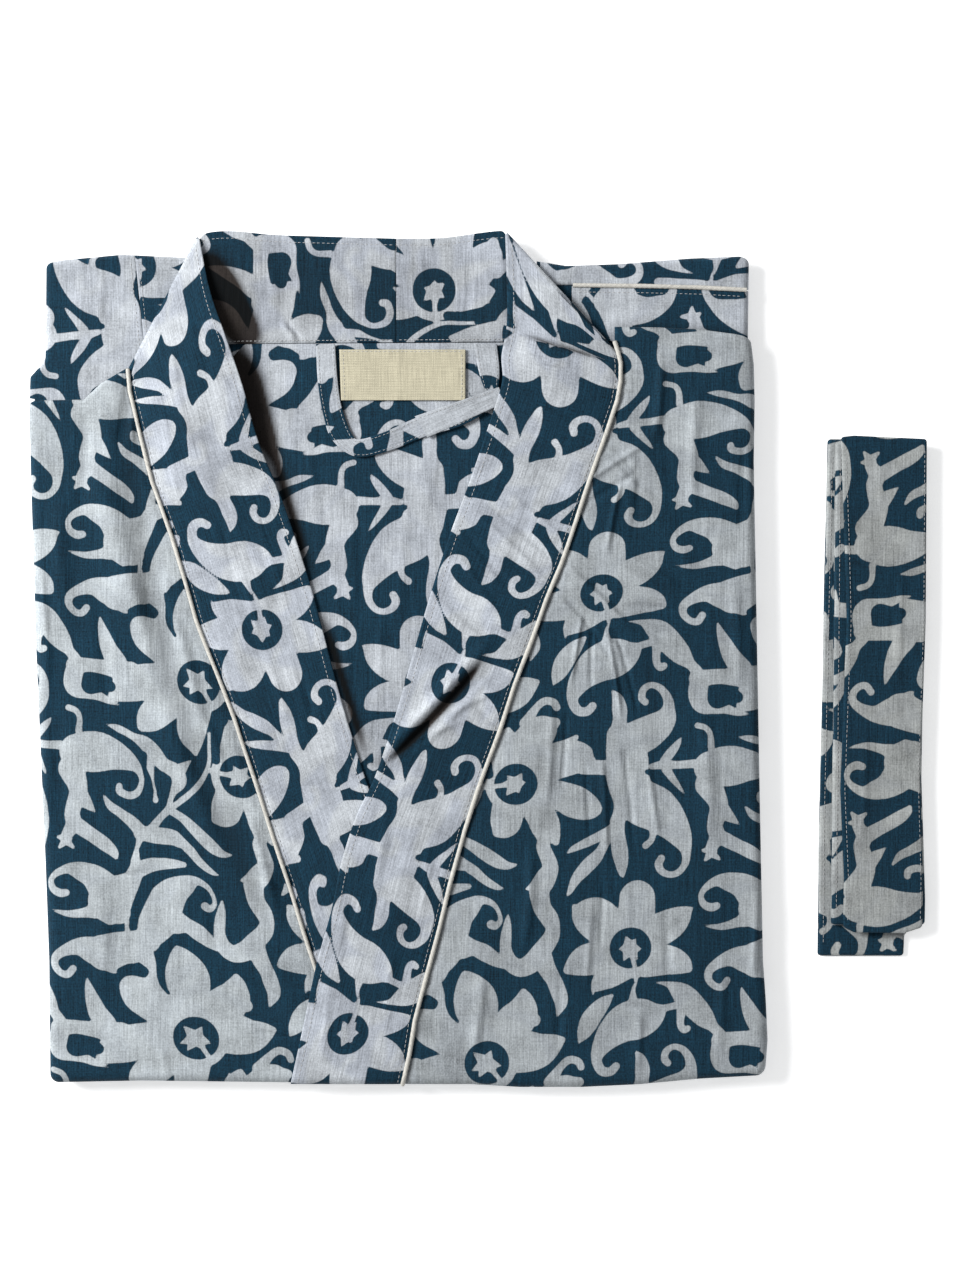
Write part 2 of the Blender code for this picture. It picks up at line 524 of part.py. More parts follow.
# Belt, folded to a narrow bundle: lowest turns, middle turns and the top one
belt_low_sides = ([(-161, 184.5), (-103, 184.8), (21, 187.5), (119, 189.8)],
                  [(-161, 230.5), (-150, 231), (-143, 237.5), (119, 238)])
belt_mid_sides = ([(-150, 191), (53, 193), (120, 193.5)],
                  [(-150, 241.5), (-130, 242), (-65, 239.8), (21, 241.6), (120, 241.8)])
belt_top_sides = ([(-148, 197), (-119, 197.6), (-71, 195.6), (-22, 197.4), (21, 199), (53, 198.2),
                   (121, 196)],
                  [(-148, 240), (-119, 240.5), (-65, 239), (21, 242), (121, 242.6)])
low_z, mid_z, top_z = BELT_HEIGHTS
stack("belt_lower", belt_low_sides, (flat_edge(-161), flat_edge(119.5)), (1.6, 1.4), (2, 8),
      lambda x, y: 0 * x + low_z, 0.0, BELT_LAYERS, print_cloth)
stack("belt_layers", belt_mid_sides, (flat_edge(-144), flat_edge(118)), (2.0, 1.8), (2, 8),
      lambda x, y: 0 * x + mid_z, low_z + SEAM_GAP, BELT_LAYERS, print_cloth)
panel("belt_top", belt_top_sides, ([(184, -145), (197, -145), (203, -148), (230, -148.5),
      (241, -145)], [(196, 120.6), (203, 121.4), (243, 119.5)]), ((1.6, 0.9),) * 4, (2, 9),
      lambda x, y: 0 * x + top_z, THIN_WALL, print_cloth)

# The origin under the middle of the box that holds the robe and its belt
pieces = [thing for thing in bpy.data.objects if thing.type == "MESH"]
corners = np.array([corner for thing in pieces for corner in thing.bound_box])
middle = (corners.min(axis=0) + corners.max(axis=0)) / 2
for thing in pieces:
    count = len(thing.data.vertices)
    flat = np.empty(count * 3)
    thing.data.vertices.foreach_get("co", flat)
    moved = flat.reshape(-1, 3) - [middle[0], middle[1], 0]
    thing.data.vertices.foreach_set("co", moved.ravel())
    thing.data.update()
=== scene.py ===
# Looks for a printed cotton kimono robe that lies folded, with its belt folded beside it.
# Every surface is worked out in millimetres on grids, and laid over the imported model's solids.
import math

import bpy
import numpy as np
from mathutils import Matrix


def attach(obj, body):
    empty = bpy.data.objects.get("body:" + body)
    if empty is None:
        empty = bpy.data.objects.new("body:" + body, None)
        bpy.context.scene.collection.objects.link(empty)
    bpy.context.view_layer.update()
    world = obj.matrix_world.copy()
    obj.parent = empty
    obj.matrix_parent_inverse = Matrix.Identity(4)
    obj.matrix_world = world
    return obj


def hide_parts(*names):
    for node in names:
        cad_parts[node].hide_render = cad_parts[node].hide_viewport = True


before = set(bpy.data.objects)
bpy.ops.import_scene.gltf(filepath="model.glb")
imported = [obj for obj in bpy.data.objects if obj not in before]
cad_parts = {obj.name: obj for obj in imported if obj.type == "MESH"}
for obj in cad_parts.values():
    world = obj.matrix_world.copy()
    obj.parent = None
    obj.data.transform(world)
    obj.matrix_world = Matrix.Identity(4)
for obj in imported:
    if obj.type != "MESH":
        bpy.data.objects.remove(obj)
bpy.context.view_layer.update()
mm = 0.001
picture = {"pixel": 0.54, "middle": (479.5, 659.5), "view": (480.0, 640.0), "size": (960, 1280),
           "clothHeight": 15.0, "distance": 1700.0, "sensor": 36.0, "reach": 20.0}
heights = {"bundle": 12.0, "neck": 9.0, "rampStart": 100.0, "rampEnd": 190.0, "back": 1.4,
           "front": 15.0, "piping": 15.2}


def spot(px, py):
    # Place on the cloth under a pixel of the photograph
    return ((px - picture["middle"][0]) * picture["pixel"],
            (picture["middle"][1] - py) * picture["pixel"])


def putIn(name, data):
    # A new object that holds the data, linked to the scene
    made = bpy.data.objects.new(name, data)
    bpy.context.collection.objects.link(made)
    return made


# Camera straight above, upright as the photograph
def makeCamera():
    # Focal length: sensor height times distance over the height of cloth in the picture
    data = bpy.data.cameras.new("overhead")
    data.sensor_fit = "VERTICAL"
    data.sensor_height = picture["sensor"]
    data.lens = (picture["sensor"] * picture["distance"]
                 / (picture["size"][1] * picture["pixel"]))
    data.clip_end = picture["reach"]
    camera = putIn("overhead", data)
    x, y = spot(*picture["view"])
    camera.location = (x * mm, y * mm, (picture["distance"] + picture["clothHeight"]) * mm)
    bpy.context.scene.camera = camera


makeCamera()

# The print's repeat, charted on a grid of 5.4 mm: its size in grid steps, the fineness
# in mm to which the chart is worked out, the thinnest half width of a stroke, the edge in mm at
# which the light begins, and the slide of a layer beneath whose own print isn't given
printRepeat = {"unit": 5.4, "width": 36.4, "height": 36.2, "step": 0.5, "thinnest": 0.05,
               "edge": 0.35, "beneath": 9.0}
# Rays of a floret: the share of the ray at which it begins, and its half widths there and at
# its tip
floret = {"petal": (0.2, 0.72, 0.12), "stem": (0.3, 0.3, 0.26)}

# Flowers: middle, dark ring, light collar, and the floret's stem and points from the middle
flowerChart = [
    {"at": (0.0, 15.4), "ring": 1.98, "collar": 3.1, "stem": (0.55, -2.7),
     "points": [(-0.35, 1.2), (0.6, 0.85), (1.1, -0.2), (0.65, -1.15), (-0.7, -1.2), (-1.1, 0.0)]},
    {"at": (26.0, 32.65), "ring": 2.03, "collar": 3.0, "stem": (-3.0, 0.0),
     "points": [(1.0, 0.1), (0.7, 1.0), (-0.7, 0.95), (-1.4, 0.15), (-0.95, -1.0), (0.3, -0.9)]},
    {"at": (21.38, 5.1), "ring": 2.13, "collar": 3.1, "stem": (1.6, -2.3),
     "points": [(-1.2, 1.15), (0.55, 1.2), (1.45, -0.4), (0.95, -1.25), (-0.8, -1.35),
                (-1.45, -0.65)]},
]

# Petals, leaves, hooks and branches: strokes of (u, v, half width)
vineChart = {
    "upFlower": [
        [(0.2, 16.0, 1.6), (0.8, 18.6, 1.9), (1.0, 20.3, 1.85)],
        [(1.5, 16.6, 1.6), (3.4, 17.1, 1.7), (4.8, 17.8, 1.35), (5.9, 18.6, 0.55),
         (6.5, 18.9, 0.12)],
        [(1.5, 14.0, 1.7), (3.6, 13.9, 1.55), (4.9, 13.5, 1.15), (5.7, 12.9, 0.5)],
        [(-0.8, 13.4, 1.3), (-2.1, 12.9, 1.35), (-3.1, 12.2, 1.0), (-3.9, 11.2, 0.25)],
        [(-2.0, 14.8, 1.8), (-4.2, 14.6, 1.65), (-5.4, 14.2, 1.15), (-6.4, 13.7, 0.45)],
        [(-1.5, 16.8, 1.9), (-3.0, 18.4, 2.2), (-3.9, 18.9, 1.75), (-4.8, 19.4, 0.85),
         (-5.4, 20.0, 0.25)]],
    "sideFlower": [
        [(-8.4, 34.2, 1.8), (-6.4, 34.6, 1.9), (-4.8, 34.9, 1.85), (-3.8, 34.8, 1.5),
         (-3.0, 34.7, 0.75)],
        [(-5.1, 36.0, 0.8), (-4.0, 36.9, 0.3)],
        [(-3.6, 33.8, 0.8), (-1.4, 33.6, 0.8)],
        [(-8.4, 31.6, 1.6), (-6.3, 31.2, 1.5), (-4.7, 30.4, 1.7), (-3.5, 29.8, 1.35),
         (-2.4, 29.4, 0.5)],
        [(-8.9, 30.5, 1.3), (-7.9, 28.8, 1.5), (-7.2, 27.6, 0.95), (-6.8, 26.5, 0.4)],
        [(-11.2, 30.8, 1.6), (-11.5, 29.4, 1.65), (-11.7, 28.7, 1.4), (-12.5, 28.0, 0.55)],
        [(-9.8, 35.2, 1.6), (-8.7, 36.6, 1.9), (-7.5, 37.8, 1.65), (-6.7, 38.3, 1.0),
         (-5.9, 38.6, 0.55)],
        [(-8.8, 38.8, 0.7), (-7.7, 40.2, 0.45), (-6.8, 40.9, 0.45), (-5.9, 40.7, 0.45),
         (-5.6, 40.1, 0.42)],
        [(-11.0, 34.6, 1.5), (-11.1, 36.2, 1.5), (-10.8, 37.4, 1.0), (-10.6, 38.3, 0.35)],
        [(25.5, 34.3, 1.0), (25.1, 35.8, 0.75), (24.8, 37.2, 0.4), (24.7, 38.0, 0.15)]],
    "lowFlower": [
        [(21.0, 7.0, 1.9), (20.8, 9.5, 1.95), (20.7, 11.2, 2.25), (20.4, 12.4, 1.75),
         (20.0, 13.6, 0.9), (19.7, 14.4, 0.2)],
        [(22.6, 7.2, 1.6), (24.2, 8.8, 1.9), (25.1, 9.6, 1.75), (25.5, 10.9, 1.05),
         (25.5, 11.9, 0.4)],
        [(25.0, 9.1, 1.4), (26.4, 9.0, 0.7)],
        [(19.3, 6.9, 1.8), (17.4, 8.4, 2.0), (16.2, 9.2, 1.95), (15.2, 9.9, 1.2)],
        [(19.7, 5.2, 1.6), (17.3, 4.8, 1.7), (15.1, 4.1, 1.9), (13.7, 3.5, 1.55),
         (12.7, 2.6, 0.75)],
        [(-13.3, 5.9, 1.9), (-11.2, 5.9, 2.15), (-9.7, 5.9, 1.75), (-8.4, 6.4, 1.1),
         (-7.3, 6.8, 0.35)],
        [(21.2, 3.0, 1.8), (21.0, 1.3, 1.7), (20.9, -0.1, 1.45), (21.2, -1.3, 0.75),
         (21.4, -2.1, 0.25)],
        [(19.2, 3.3, 1.6), (17.6, 1.8, 1.7), (16.6, 0.8, 1.5), (15.8, -0.2, 0.65)]],
    "underLeaf": [
        [(3.0, 9.1, 0.4), (1.8, 8.5, 1.3), (0.4, 8.3, 2.05), (-1.1, 7.9, 1.9), (-2.4, 7.0, 1.45),
         (-3.4, 5.9, 1.0), (-4.0, 4.6, 0.6), (-3.6, 3.4, 0.55), (-2.7, 3.2, 0.5),
         (-2.1, 3.7, 0.46)],
        [(0.5, 13.2, 0.3), (0.4, 12.1, 0.24), (0.1, 11.2, 0.25), (0.0, 10.2, 0.5)],
        [(2.9, 9.1, 0.4), (4.3, 9.3, 0.42), (5.3, 9.5, 0.7)],
        [(5.0, 9.6, 0.7), (4.7, 8.4, 0.48), (4.6, 7.3, 0.42), (4.9, 6.8, 0.42), (5.3, 6.9, 0.38)]],
    "sideLeaf": [
        [(-2.1, 10.8, 0.25), (-3.2, 9.9, 0.8), (-4.3, 8.7, 1.0), (-5.0, 7.5, 0.8),
         (-5.7, 6.3, 0.12)]],
    "arch": [
        [(2.3, 11.8, 0.1), (3.7, 11.4, 0.4), (5.0, 10.4, 1.1), (5.9, 9.3, 1.25), (6.9, 8.0, 1.1),
         (7.8, 6.9, 0.6), (8.4, 6.1, 0.65), (8.5, 5.2, 0.95), (8.3, 3.8, 1.0), (8.7, 3.0, 0.95),
         (9.7, 2.7, 0.75), (10.9, 2.4, 0.55), (12.1, 1.9, 0.36), (13.2, 1.6, 0.1)],
        [(8.4, 5.4, 0.9), (10.2, 5.5, 0.75), (12.2, 5.3, 0.9), (14.2, 5.0, 1.3)]],
    "spike": [
        [(10.9, 10.5, 0.15), (11.1, 9.6, 0.45), (11.5, 8.4, 0.75), (12.0, 7.2, 0.95),
         (12.8, 6.0, 1.1)]],
    "hookLow": [
        [(13.6, 13.0, 1.9), (11.8, 13.3, 1.5), (10.2, 13.6, 0.95), (8.8, 13.2, 0.62),
         (7.8, 12.5, 0.48), (7.7, 11.6, 0.42), (8.3, 10.9, 0.4), (9.0, 10.8, 0.42),
         (9.5, 11.4, 0.42)],
        [(12.6, 13.2, 1.85), (14.2, 13.7, 1.75), (15.8, 14.1, 1.6), (16.9, 14.8, 1.3)],
        [(14.9, 15.0, 0.3), (14.9, 16.5, 0.3)],
        [(16.5, 13.8, 1.4), (17.3, 11.8, 0.42), (17.2, 10.5, 0.75), (17.9, 9.2, 1.2)]],
    "archCurl": [
        [(16.9, 14.9, 1.2), (18.0, 17.0, 1.95), (18.6, 18.5, 1.9), (19.5, 19.9, 1.5),
         (20.7, 20.8, 1.05), (21.8, 21.4, 0.52), (22.9, 21.0, 0.34), (23.5, 20.1, 0.27),
         (23.6, 19.2, 0.3), (23.1, 18.7, 0.42), (22.7, 18.9, 0.5)],
        [(19.4, 17.0, 1.4), (20.8, 16.7, 0.85), (21.9, 16.1, 0.9), (22.9, 15.3, 0.7),
         (23.5, 14.7, 0.35), (23.9, 14.3, 0.1)]],
    "hookTop": [
        [(12.9, 19.4, 1.8), (11.7, 20.6, 1.35), (10.3, 21.2, 1.0), (9.1, 21.4, 0.6),
         (8.0, 20.9, 0.42), (7.4, 20.1, 0.33), (7.6, 19.2, 0.42), (8.3, 18.8, 0.48),
         (8.9, 18.9, 0.42)],
        [(12.6, 17.6, 1.2), (11.0, 17.1, 0.6), (9.4, 16.8, 0.42), (8.2, 16.9, 0.25),
         (7.4, 17.1, 0.08)],
        [(13.2, 18.3, 2.2), (13.9, 19.2, 1.8), (15.3, 20.6, 1.0), (15.9, 21.8, 0.8)],
        [(13.3, 17.5, 1.6), (14.0, 17.4, 1.3)]],
    "branch": [
        [(15.9, 21.6, 0.8), (15.8, 22.8, 0.5), (15.9, 23.7, 0.33), (16.1, 24.6, 0.36),
         (16.3, 25.4, 0.7)],
        [(15.9, 21.7, 0.85), (17.6, 22.5, 0.72), (19.4, 22.8, 0.55), (20.7, 22.9, 0.33)],
        [(16.2, 25.4, 0.75), (17.9, 25.4, 0.88), (19.7, 25.4, 0.82), (21.1, 24.6, 0.58),
         (22.3, 23.4, 0.48), (23.4, 22.6, 0.36), (24.2, 22.3, 0.12)],
        [(19.0, 28.1, 0.4), (20.5, 27.5, 0.5), (22.1, 26.3, 0.68), (23.5, 25.2, 0.7),
         (24.6, 24.6, 0.46), (25.5, 24.6, 0.18)],
        [(16.3, 25.5, 0.75), (15.4, 26.3, 0.66), (14.1, 27.1, 0.52), (13.0, 27.7, 0.45),
         (12.3, 28.6, 0.18)],
        [(17.3, 25.9, 0.5), (18.2, 27.2, 0.4), (19.0, 28.2, 0.42), (19.1, 29.1, 0.3)],
        [(19.1, 28.2, 0.35), (20.3, 29.3, 0.35), (21.6, 30.7, 0.34), (22.4, 32.1, 0.3),
         (22.8, 33.5, 0.25), (22.8, 34.9, 0.28), (22.8, 36.3, 0.3)],
        [(22.6, 32.7, 0.25), (24.1, 33.1, 0.3)]],
    "fork": [
        [(12.0, 35.7, 0.12), (13.3, 35.4, 0.42), (14.8, 34.8, 0.42), (16.1, 34.3, 0.75),
         (17.2, 33.4, 0.88), (18.2, 32.5, 0.75), (19.5, 32.0, 0.85), (19.9, 31.1, 0.8),
         (19.4, 30.0, 0.42), (19.1, 29.0, 0.3)],
        [(19.7, 32.0, 0.85), (21.0, 33.4, 0.1)],
        [(16.8, 33.0, 0.42), (16.9, 31.6, 0.42), (17.2, 30.4, 0.25), (17.6, 29.3, 0.3),
         (17.6, 28.8, 0.33)]],
    "claw": [
        [(9.0, 32.9, 1.7), (10.8, 32.9, 2.1), (12.6, 32.8, 1.65), (14.2, 32.4, 1.1),
         (15.4, 31.8, 0.58), (16.0, 30.9, 0.34), (16.0, 30.0, 0.34), (15.6, 29.2, 0.4),
         (14.8, 28.9, 0.42), (13.9, 29.2, 0.43), (13.8, 29.7, 0.4)],
        [(8.7, 31.2, 1.4), (9.4, 29.8, 1.1), (9.6, 28.8, 1.0), (9.3, 27.8, 0.9), (9.1, 26.8, 0.85),
         (9.3, 25.9, 0.85), (8.7, 24.9, 0.65)],
        [(9.8, 28.6, 0.9), (10.6, 27.8, 0.6), (11.6, 26.9, 0.08)],
        [(9.6, 25.8, 0.8), (11.1, 24.9, 0.72), (12.6, 24.0, 0.72), (13.5, 23.3, 0.55),
         (13.8, 22.8, 0.28)],
        [(8.7, 24.5, 0.6), (7.8, 24.6, 0.22)],
        [(8.5, 24.2, 0.5), (8.0, 23.6, 0.22)],
        [(8.7, 24.2, 0.45), (9.4, 23.6, 0.22)],
        [(9.2, 34.9, 0.4), (9.2, 36.2, 0.34), (8.8, 36.9, 0.34), (8.0, 37.2, 0.36)]],
    "pinch": [
        [(3.2, 33.4, 0.35), (4.4, 33.5, 0.5), (5.8, 33.4, 0.44), (7.4, 33.4, 0.5)],
        [(4.5, 33.9, 0.5), (5.2, 34.7, 0.52), (5.9, 35.5, 0.38), (6.3, 36.1, 0.12)],
        [(4.6, 33.0, 0.5), (5.2, 32.0, 0.42), (5.8, 31.0, 0.33), (6.3, 30.3, 0.1)]],
    "paisley": [
        [(0.3, 36.6, 1.4), (0.8, 34.6, 2.1), (0.9, 32.6, 2.0), (1.2, 31.0, 2.1), (1.9, 29.9, 2.35),
         (3.3, 29.1, 2.3), (4.6, 27.8, 1.8), (5.6, 26.2, 1.2), (6.1, 24.8, 0.62),
         (6.0, 23.5, 0.42), (5.3, 22.6, 0.38), (4.4, 22.4, 0.38), (3.6, 22.8, 0.42),
         (3.3, 23.5, 0.46), (3.6, 24.1, 0.44)],
        [(-0.6, 33.4, 1.0), (-0.1, 31.0, 1.1), (0.0, 29.4, 1.0), (-0.5, 28.4, 0.85),
         (-0.6, 27.0, 0.75), (-0.5, 25.2, 0.88), (-0.4, 24.0, 0.72), (-0.4, 23.0, 0.42),
         (-0.3, 22.5, 0.12)],
        [(-0.7, 27.4, 0.75), (-2.3, 26.8, 0.55), (-3.8, 26.2, 0.5), (-5.1, 25.7, 0.36),
         (-5.8, 25.3, 0.1)],
        [(-1.6, 26.6, 0.5), (-2.4, 25.3, 0.55), (-3.0, 24.6, 0.7), (-3.9, 23.8, 0.75),
         (-5.0, 22.7, 0.58), (-5.7, 21.5, 0.32), (-6.0, 21.1, 0.12)],
        [(2.7, 28.0, 0.6), (2.9, 26.8, 0.4), (2.7, 26.0, 0.36), (2.1, 25.5, 0.4)],
        [(0.1, 36.6, 1.0), (0.4, 38.2, 0.75), (0.5, 39.4, 0.8), (0.4, 40.4, 0.58),
         (0.0, 41.2, 0.18)],
        [(1.7, 36.2, 1.8), (3.3, 36.9, 1.65), (4.7, 37.8, 1.2), (5.3, 38.9, 0.7),
         (5.3, 40.0, 0.52), (4.7, 41.0, 0.42), (3.8, 41.4, 0.35), (3.0, 41.0, 0.4),
         (2.8, 40.2, 0.42), (3.1, 39.8, 0.4)]],
    "elbow": [
        [(-8.3, 28.4, 1.1), (-8.0, 26.9, 0.7), (-8.1, 26.1, 0.75), (-7.8, 25.2, 0.8),
         (-7.5, 24.0, 0.85), (-8.1, 22.9, 1.1), (-8.7, 22.0, 1.1), (-8.7, 21.0, 1.0),
         (-8.5, 20.0, 0.95), (-7.9, 19.0, 0.95), (-7.6, 18.0, 0.78), (-7.9, 17.0, 0.88),
         (-8.9, 15.8, 1.0), (-9.8, 14.8, 1.05), (-11.0, 14.3, 0.95), (-12.0, 14.9, 0.85),
         (-12.4, 16.2, 0.65), (-12.3, 17.6, 0.6), (-12.1, 18.8, 0.43), (-12.0, 19.7, 0.15)],
        [(-9.2, 22.3, 0.7), (-10.1, 22.1, 0.1)],
        [(-8.8, 15.6, 0.95), (-8.5, 14.2, 0.95), (-7.8, 12.8, 0.82), (-7.4, 11.6, 0.85),
         (-7.2, 10.6, 0.72), (-7.5, 9.6, 0.33), (-7.7, 9.1, 0.1)]],
}

# Ground colour cut into the light motifs, in the same way
cutChart = [
    [(2.7, 32.9, 0.2), (3.6, 32.5, 0.36), (4.5, 31.7, 0.33), (5.5, 30.6, 0.3), (6.1, 29.9, 0.4)],
    [(3.3, 34.2, 0.33), (3.9, 34.6, 0.28), (4.9, 35.4, 0.2), (5.6, 36.2, 0.25)],
    [(-5.0, 32.9, 0.08), (-3.4, 32.4, 0.33), (-2.3, 31.8, 0.55), (-1.6, 30.6, 0.5),
     (-1.4, 29.6, 0.5), (-1.8, 28.5, 0.5)],
    [(-2.1, 37.4, 0.85), (-2.1, 36.0, 0.5), (-2.0, 34.9, 0.4)],
    [(-4.5, 12.6, 0.25), (-5.4, 12.7, 0.3)],
    [(1.0, 12.2, 0.14), (3.1, 12.1, 0.12), (5.5, 12.1, 0.14)],
    [(-3.7, 11.1, 0.15), (-1.7, 11.4, 0.15), (0.1, 11.9, 0.12)],
    [(10.2, 3.5, 0.95), (11.5, 3.6, 0.75), (12.2, 3.4, 0.5)],
    [(14.2, 11.4, 0.35), (15.3, 11.7, 0.55), (16.4, 11.4, 0.4)],
    [(17.6, 13.6, 0.12), (17.9, 12.5, 0.2), (18.0, 11.3, 0.25), (18.2, 10.4, 0.2),
     (18.8, 9.5, 0.1)],
    [(15.4, 16.0, 0.3), (15.8, 17.6, 0.42), (16.5, 19.3, 0.5), (17.4, 20.9, 0.5),
     (18.8, 21.7, 0.22), (21.0, 22.4, 0.2)],
    [(11.9, 16.0, 0.5), (13.2, 15.7, 0.22), (14.4, 15.7, 0.18)],
    [(16.7, 23.7, 0.55), (18.5, 23.9, 0.58), (20.2, 24.0, 0.48)],
    [(18.5, 26.5, 0.1), (19.2, 27.0, 0.28), (20.4, 26.2, 0.26), (21.5, 25.3, 0.26),
     (22.8, 24.4, 0.36)],
    [(13.0, 34.9, 0.12), (14.3, 34.3, 0.18), (15.1, 33.6, 0.28)],
    [(16.0, 33.0, 0.42), (16.2, 31.9, 0.2), (16.7, 30.7, 0.3), (16.9, 29.6, 0.42)],
    [(18.1, 31.1, 0.6), (18.3, 29.5, 0.55)],
    [(23.7, 38.0, 0.62), (23.5, 36.6, 0.55), (23.4, 35.2, 0.42), (23.5, 33.9, 0.4)]]


def withEnds(rows):
    # Rows with one more at each end, straight on
    return np.vstack([2 * rows[0] - rows[1], rows, 2 * rows[-1] - rows[-2]])


def curveThrough(a, b, c, d, t):
    # Catmull-Rom: the point a share t of the way from b to c, with a before them and d after
    return 0.5 * (2 * b + (c - a) * t + (2 * a - 5 * b + 4 * c - d) * t ** 2
                  + (3 * b - a - 3 * c + d) * t ** 3)


def smoothStroke(rows, parts=4):
    # Curve through a stroke's rows, half width too
    rows = np.array(rows, float)
    if len(rows) < 3:
        return rows
    ends = withEnds(rows)
    t = (np.arange(parts) / parts)[:, None]
    out = [curveThrough(*four, t) for four in zip(ends[:-3], ends[1:-2], ends[2:-1], ends[3:])]
    out = np.vstack(out + [rows[-1:]])
    out[:, 2] = np.maximum(out[:, 2], printRepeat["thinnest"])
    return out


def rise(gridU, gridV, strokes):
    # Height above the strokes' edges: half width less distance, the largest over all pieces
    wide, high = printRepeat["width"], printRepeat["height"]
    best = np.full(gridU.shape, -9.0)
    for stroke in strokes:
        for (ua, va, ra), (ub, vb, rb) in zip(stroke[:-1], stroke[1:]):
            du = gridU - (ua + ub) / 2
            dv = gridV - (va + vb) / 2
            du -= wide * np.round(du / wide)
            dv -= high * np.round(dv / high)
            lu, lv = ub - ua, vb - va
            t = np.clip((du * lu + dv * lv) / (lu * lu + lv * lv + 1e-9) + 0.5, 0, 1)
            away = np.hypot(du - (t - 0.5) * lu, dv - (t - 0.5) * lv)
            best = np.maximum(best, ra + (rb - ra) * t - away)
    return best


def chartPrint():
    # Distance into the light motifs, in mm, over one repeat: the larger of all strokes, less the
    # ground cut into them, and then the florets inside the dark rings
    unit, wide, high = (printRepeat[key] for key in ("unit", "width", "height"))
    nu, nv = round(wide * unit / printRepeat["step"]), round(high * unit / printRepeat["step"])
    gridU, gridV = np.meshgrid(np.arange(nu) * wide / nu, np.arange(nv) * high / nv)
    light = [smoothStroke(stroke) for motif in vineChart.values() for stroke in motif]
    rings, florets = [], []
    for flower in flowerChart:
        u, v = flower["at"]
        for strokes, size in ((light, flower["collar"]), (rings, flower["ring"])):
            strokes.append(np.array([(u, v, size), (u + 0.1, v, size)]))
        rays = [(point, floret["petal"]) for point in flower["points"]]
        for (a, b), (start, root, tip) in rays + [(flower["stem"], floret["stem"])]:
            florets.append(np.array([(u + start * a, v + start * b, root), (u + a, v + b, tip)]))
    dark = [smoothStroke(stroke) for stroke in cutChart]
    field = np.minimum(rise(gridU, gridV, light), -rise(gridU, gridV, dark + rings))
    return np.maximum(field, rise(gridU, gridV, florets)) * unit


# Outlines as in the part: (Y, X) down a side, (X, Y) along an end
leftSide = [(-231, -232.3), (-163, -233), (-109, -235), (5, -240), (86, -242.5), (141, -244)]
rightSide = [(-226, 154.5), (-206, 156), (-184, 155), (-163, 153.5), (-87, 152), (107, 148.5),
             (140, 149), (160, 148.5), (176, 146.5)]
bottomEnd = [(-232, -229), (-183, -228), (-102, -229), (-43, -230), (-5, -230), (22, -231.5),
             (55, -231.5), (87, -230), (119, -227), (155, -225)]
leftTop = [(-244, 140), (-214, 140.5), (-204.5, 149.5), (-190, 158)]
rightTop = [(71, 180), (98, 179.5), (119, 178.5), (138, 176), (147, 174)]
backTop = [(-238, 124), (-192, 126), (-150, 146), (-127, 170.8), (15, 171.6), (60, 170.5),
           (76, 166), (150, 165)]
leftSeam = [(-194, -80.5), (-169, -88), (-125, -102), (-82, -116), (-33, -132), (21, -153),
            (66, -166), (96, -177), (133, -186), (145, -189), (157, -190)]
rightSeam = [(-230, -41.5), (-214, -38), (-195, -35), (-173, -29), (-146, -22), (-122, -16),
             (-92, -8), (-71, -1), (-57, 4), (-38, 11), (-14, 19), (10, 28), (32, 36), (51, 44),
             (110, 64), (124, 69), (140, 74.5), (150, 76.3), (160, 76.3), (166, 74.8),
             (172, 72.8)]
cuffSeam = [(50, 202.6), (87, 202.2), (119, 201.4), (145.5, 200)]

# Neck band: seam X, Y, Z, free edge X, Y, Z, arch
leftBack = [(-45.5, 171.9, 10.9, -45.5, 227.5, 9.2, 0.9),
            (-80.5, 171.6, 10.9, -80.5, 228.5, 9.2, 0.9),
            (-113.0, 171.3, 11.1, -111.0, 229.5, 9.3, 1.0),
            (-146.0, 170.0, 12.1, -134.0, 231.5, 9.7, 1.2),
            (-177.0, 163.0, 12.4, -147.5, 230.5, 10.2, 0.9),
            (-188.0, 156.8, 12.5, -151.7, 227.3, 10.4, 0.8)]
leftFront = [(-188.0, 156.8, 14.6, -151.7, 227.3, 12.6, 0.8),
             (-187.6, 151.5, 14.6, -145.8, 199.0, 17.0, 1.6),
             (-186.7, 145.0, 14.5, -137.0, 173.5, 20.5, 2.4),
             (-184.0, 131.0, 14.5, -128.5, 149.0, 21.5, 2.6),
             (-175.2, 97.5, 14.45, -119.3, 116.5, 19.0, 1.8),
             (-164.5, 66.0, 14.45, -107.0, 86.0, 16.4, 0.8),
             (-151.0, 21.0, 14.45, -91.5, 39.0, 14.8, 0.2),
             (-130.5, -33.5, 14.45, -77.3, -14.5, 14.5, 0.0),
             (-115.5, -79.0, 14.45, -65.3, -54.5, 14.45, 0.0),
             (-103.0, -115.0, 14.45, -58.0, -76.0, 14.45, 0.0),
             (-92.2, -149.0, 14.45, -54.5, -86.0, 14.45, 0.0),
             (-79.0, -193.0, 14.45, -51.5, -94.5, 14.45, 0.0)]
rightBack = [(-44.8, 171.9, 10.9, -44.8, 227.5, 9.2, 0.9),
             (-21.0, 172.0, 10.9, -21.0, 227.8, 9.2, 0.9),
             (3.0, 172.2, 11.0, 0.0, 230.5, 9.3, 1.0),
             (26.0, 172.0, 11.9, 9.5, 231.5, 9.8, 1.2),
             (52.0, 171.0, 12.3, 13.0, 231.3, 10.1, 1.0),
             (70.2, 168.4, 12.4, 14.3, 229.3, 10.3, 0.9)]
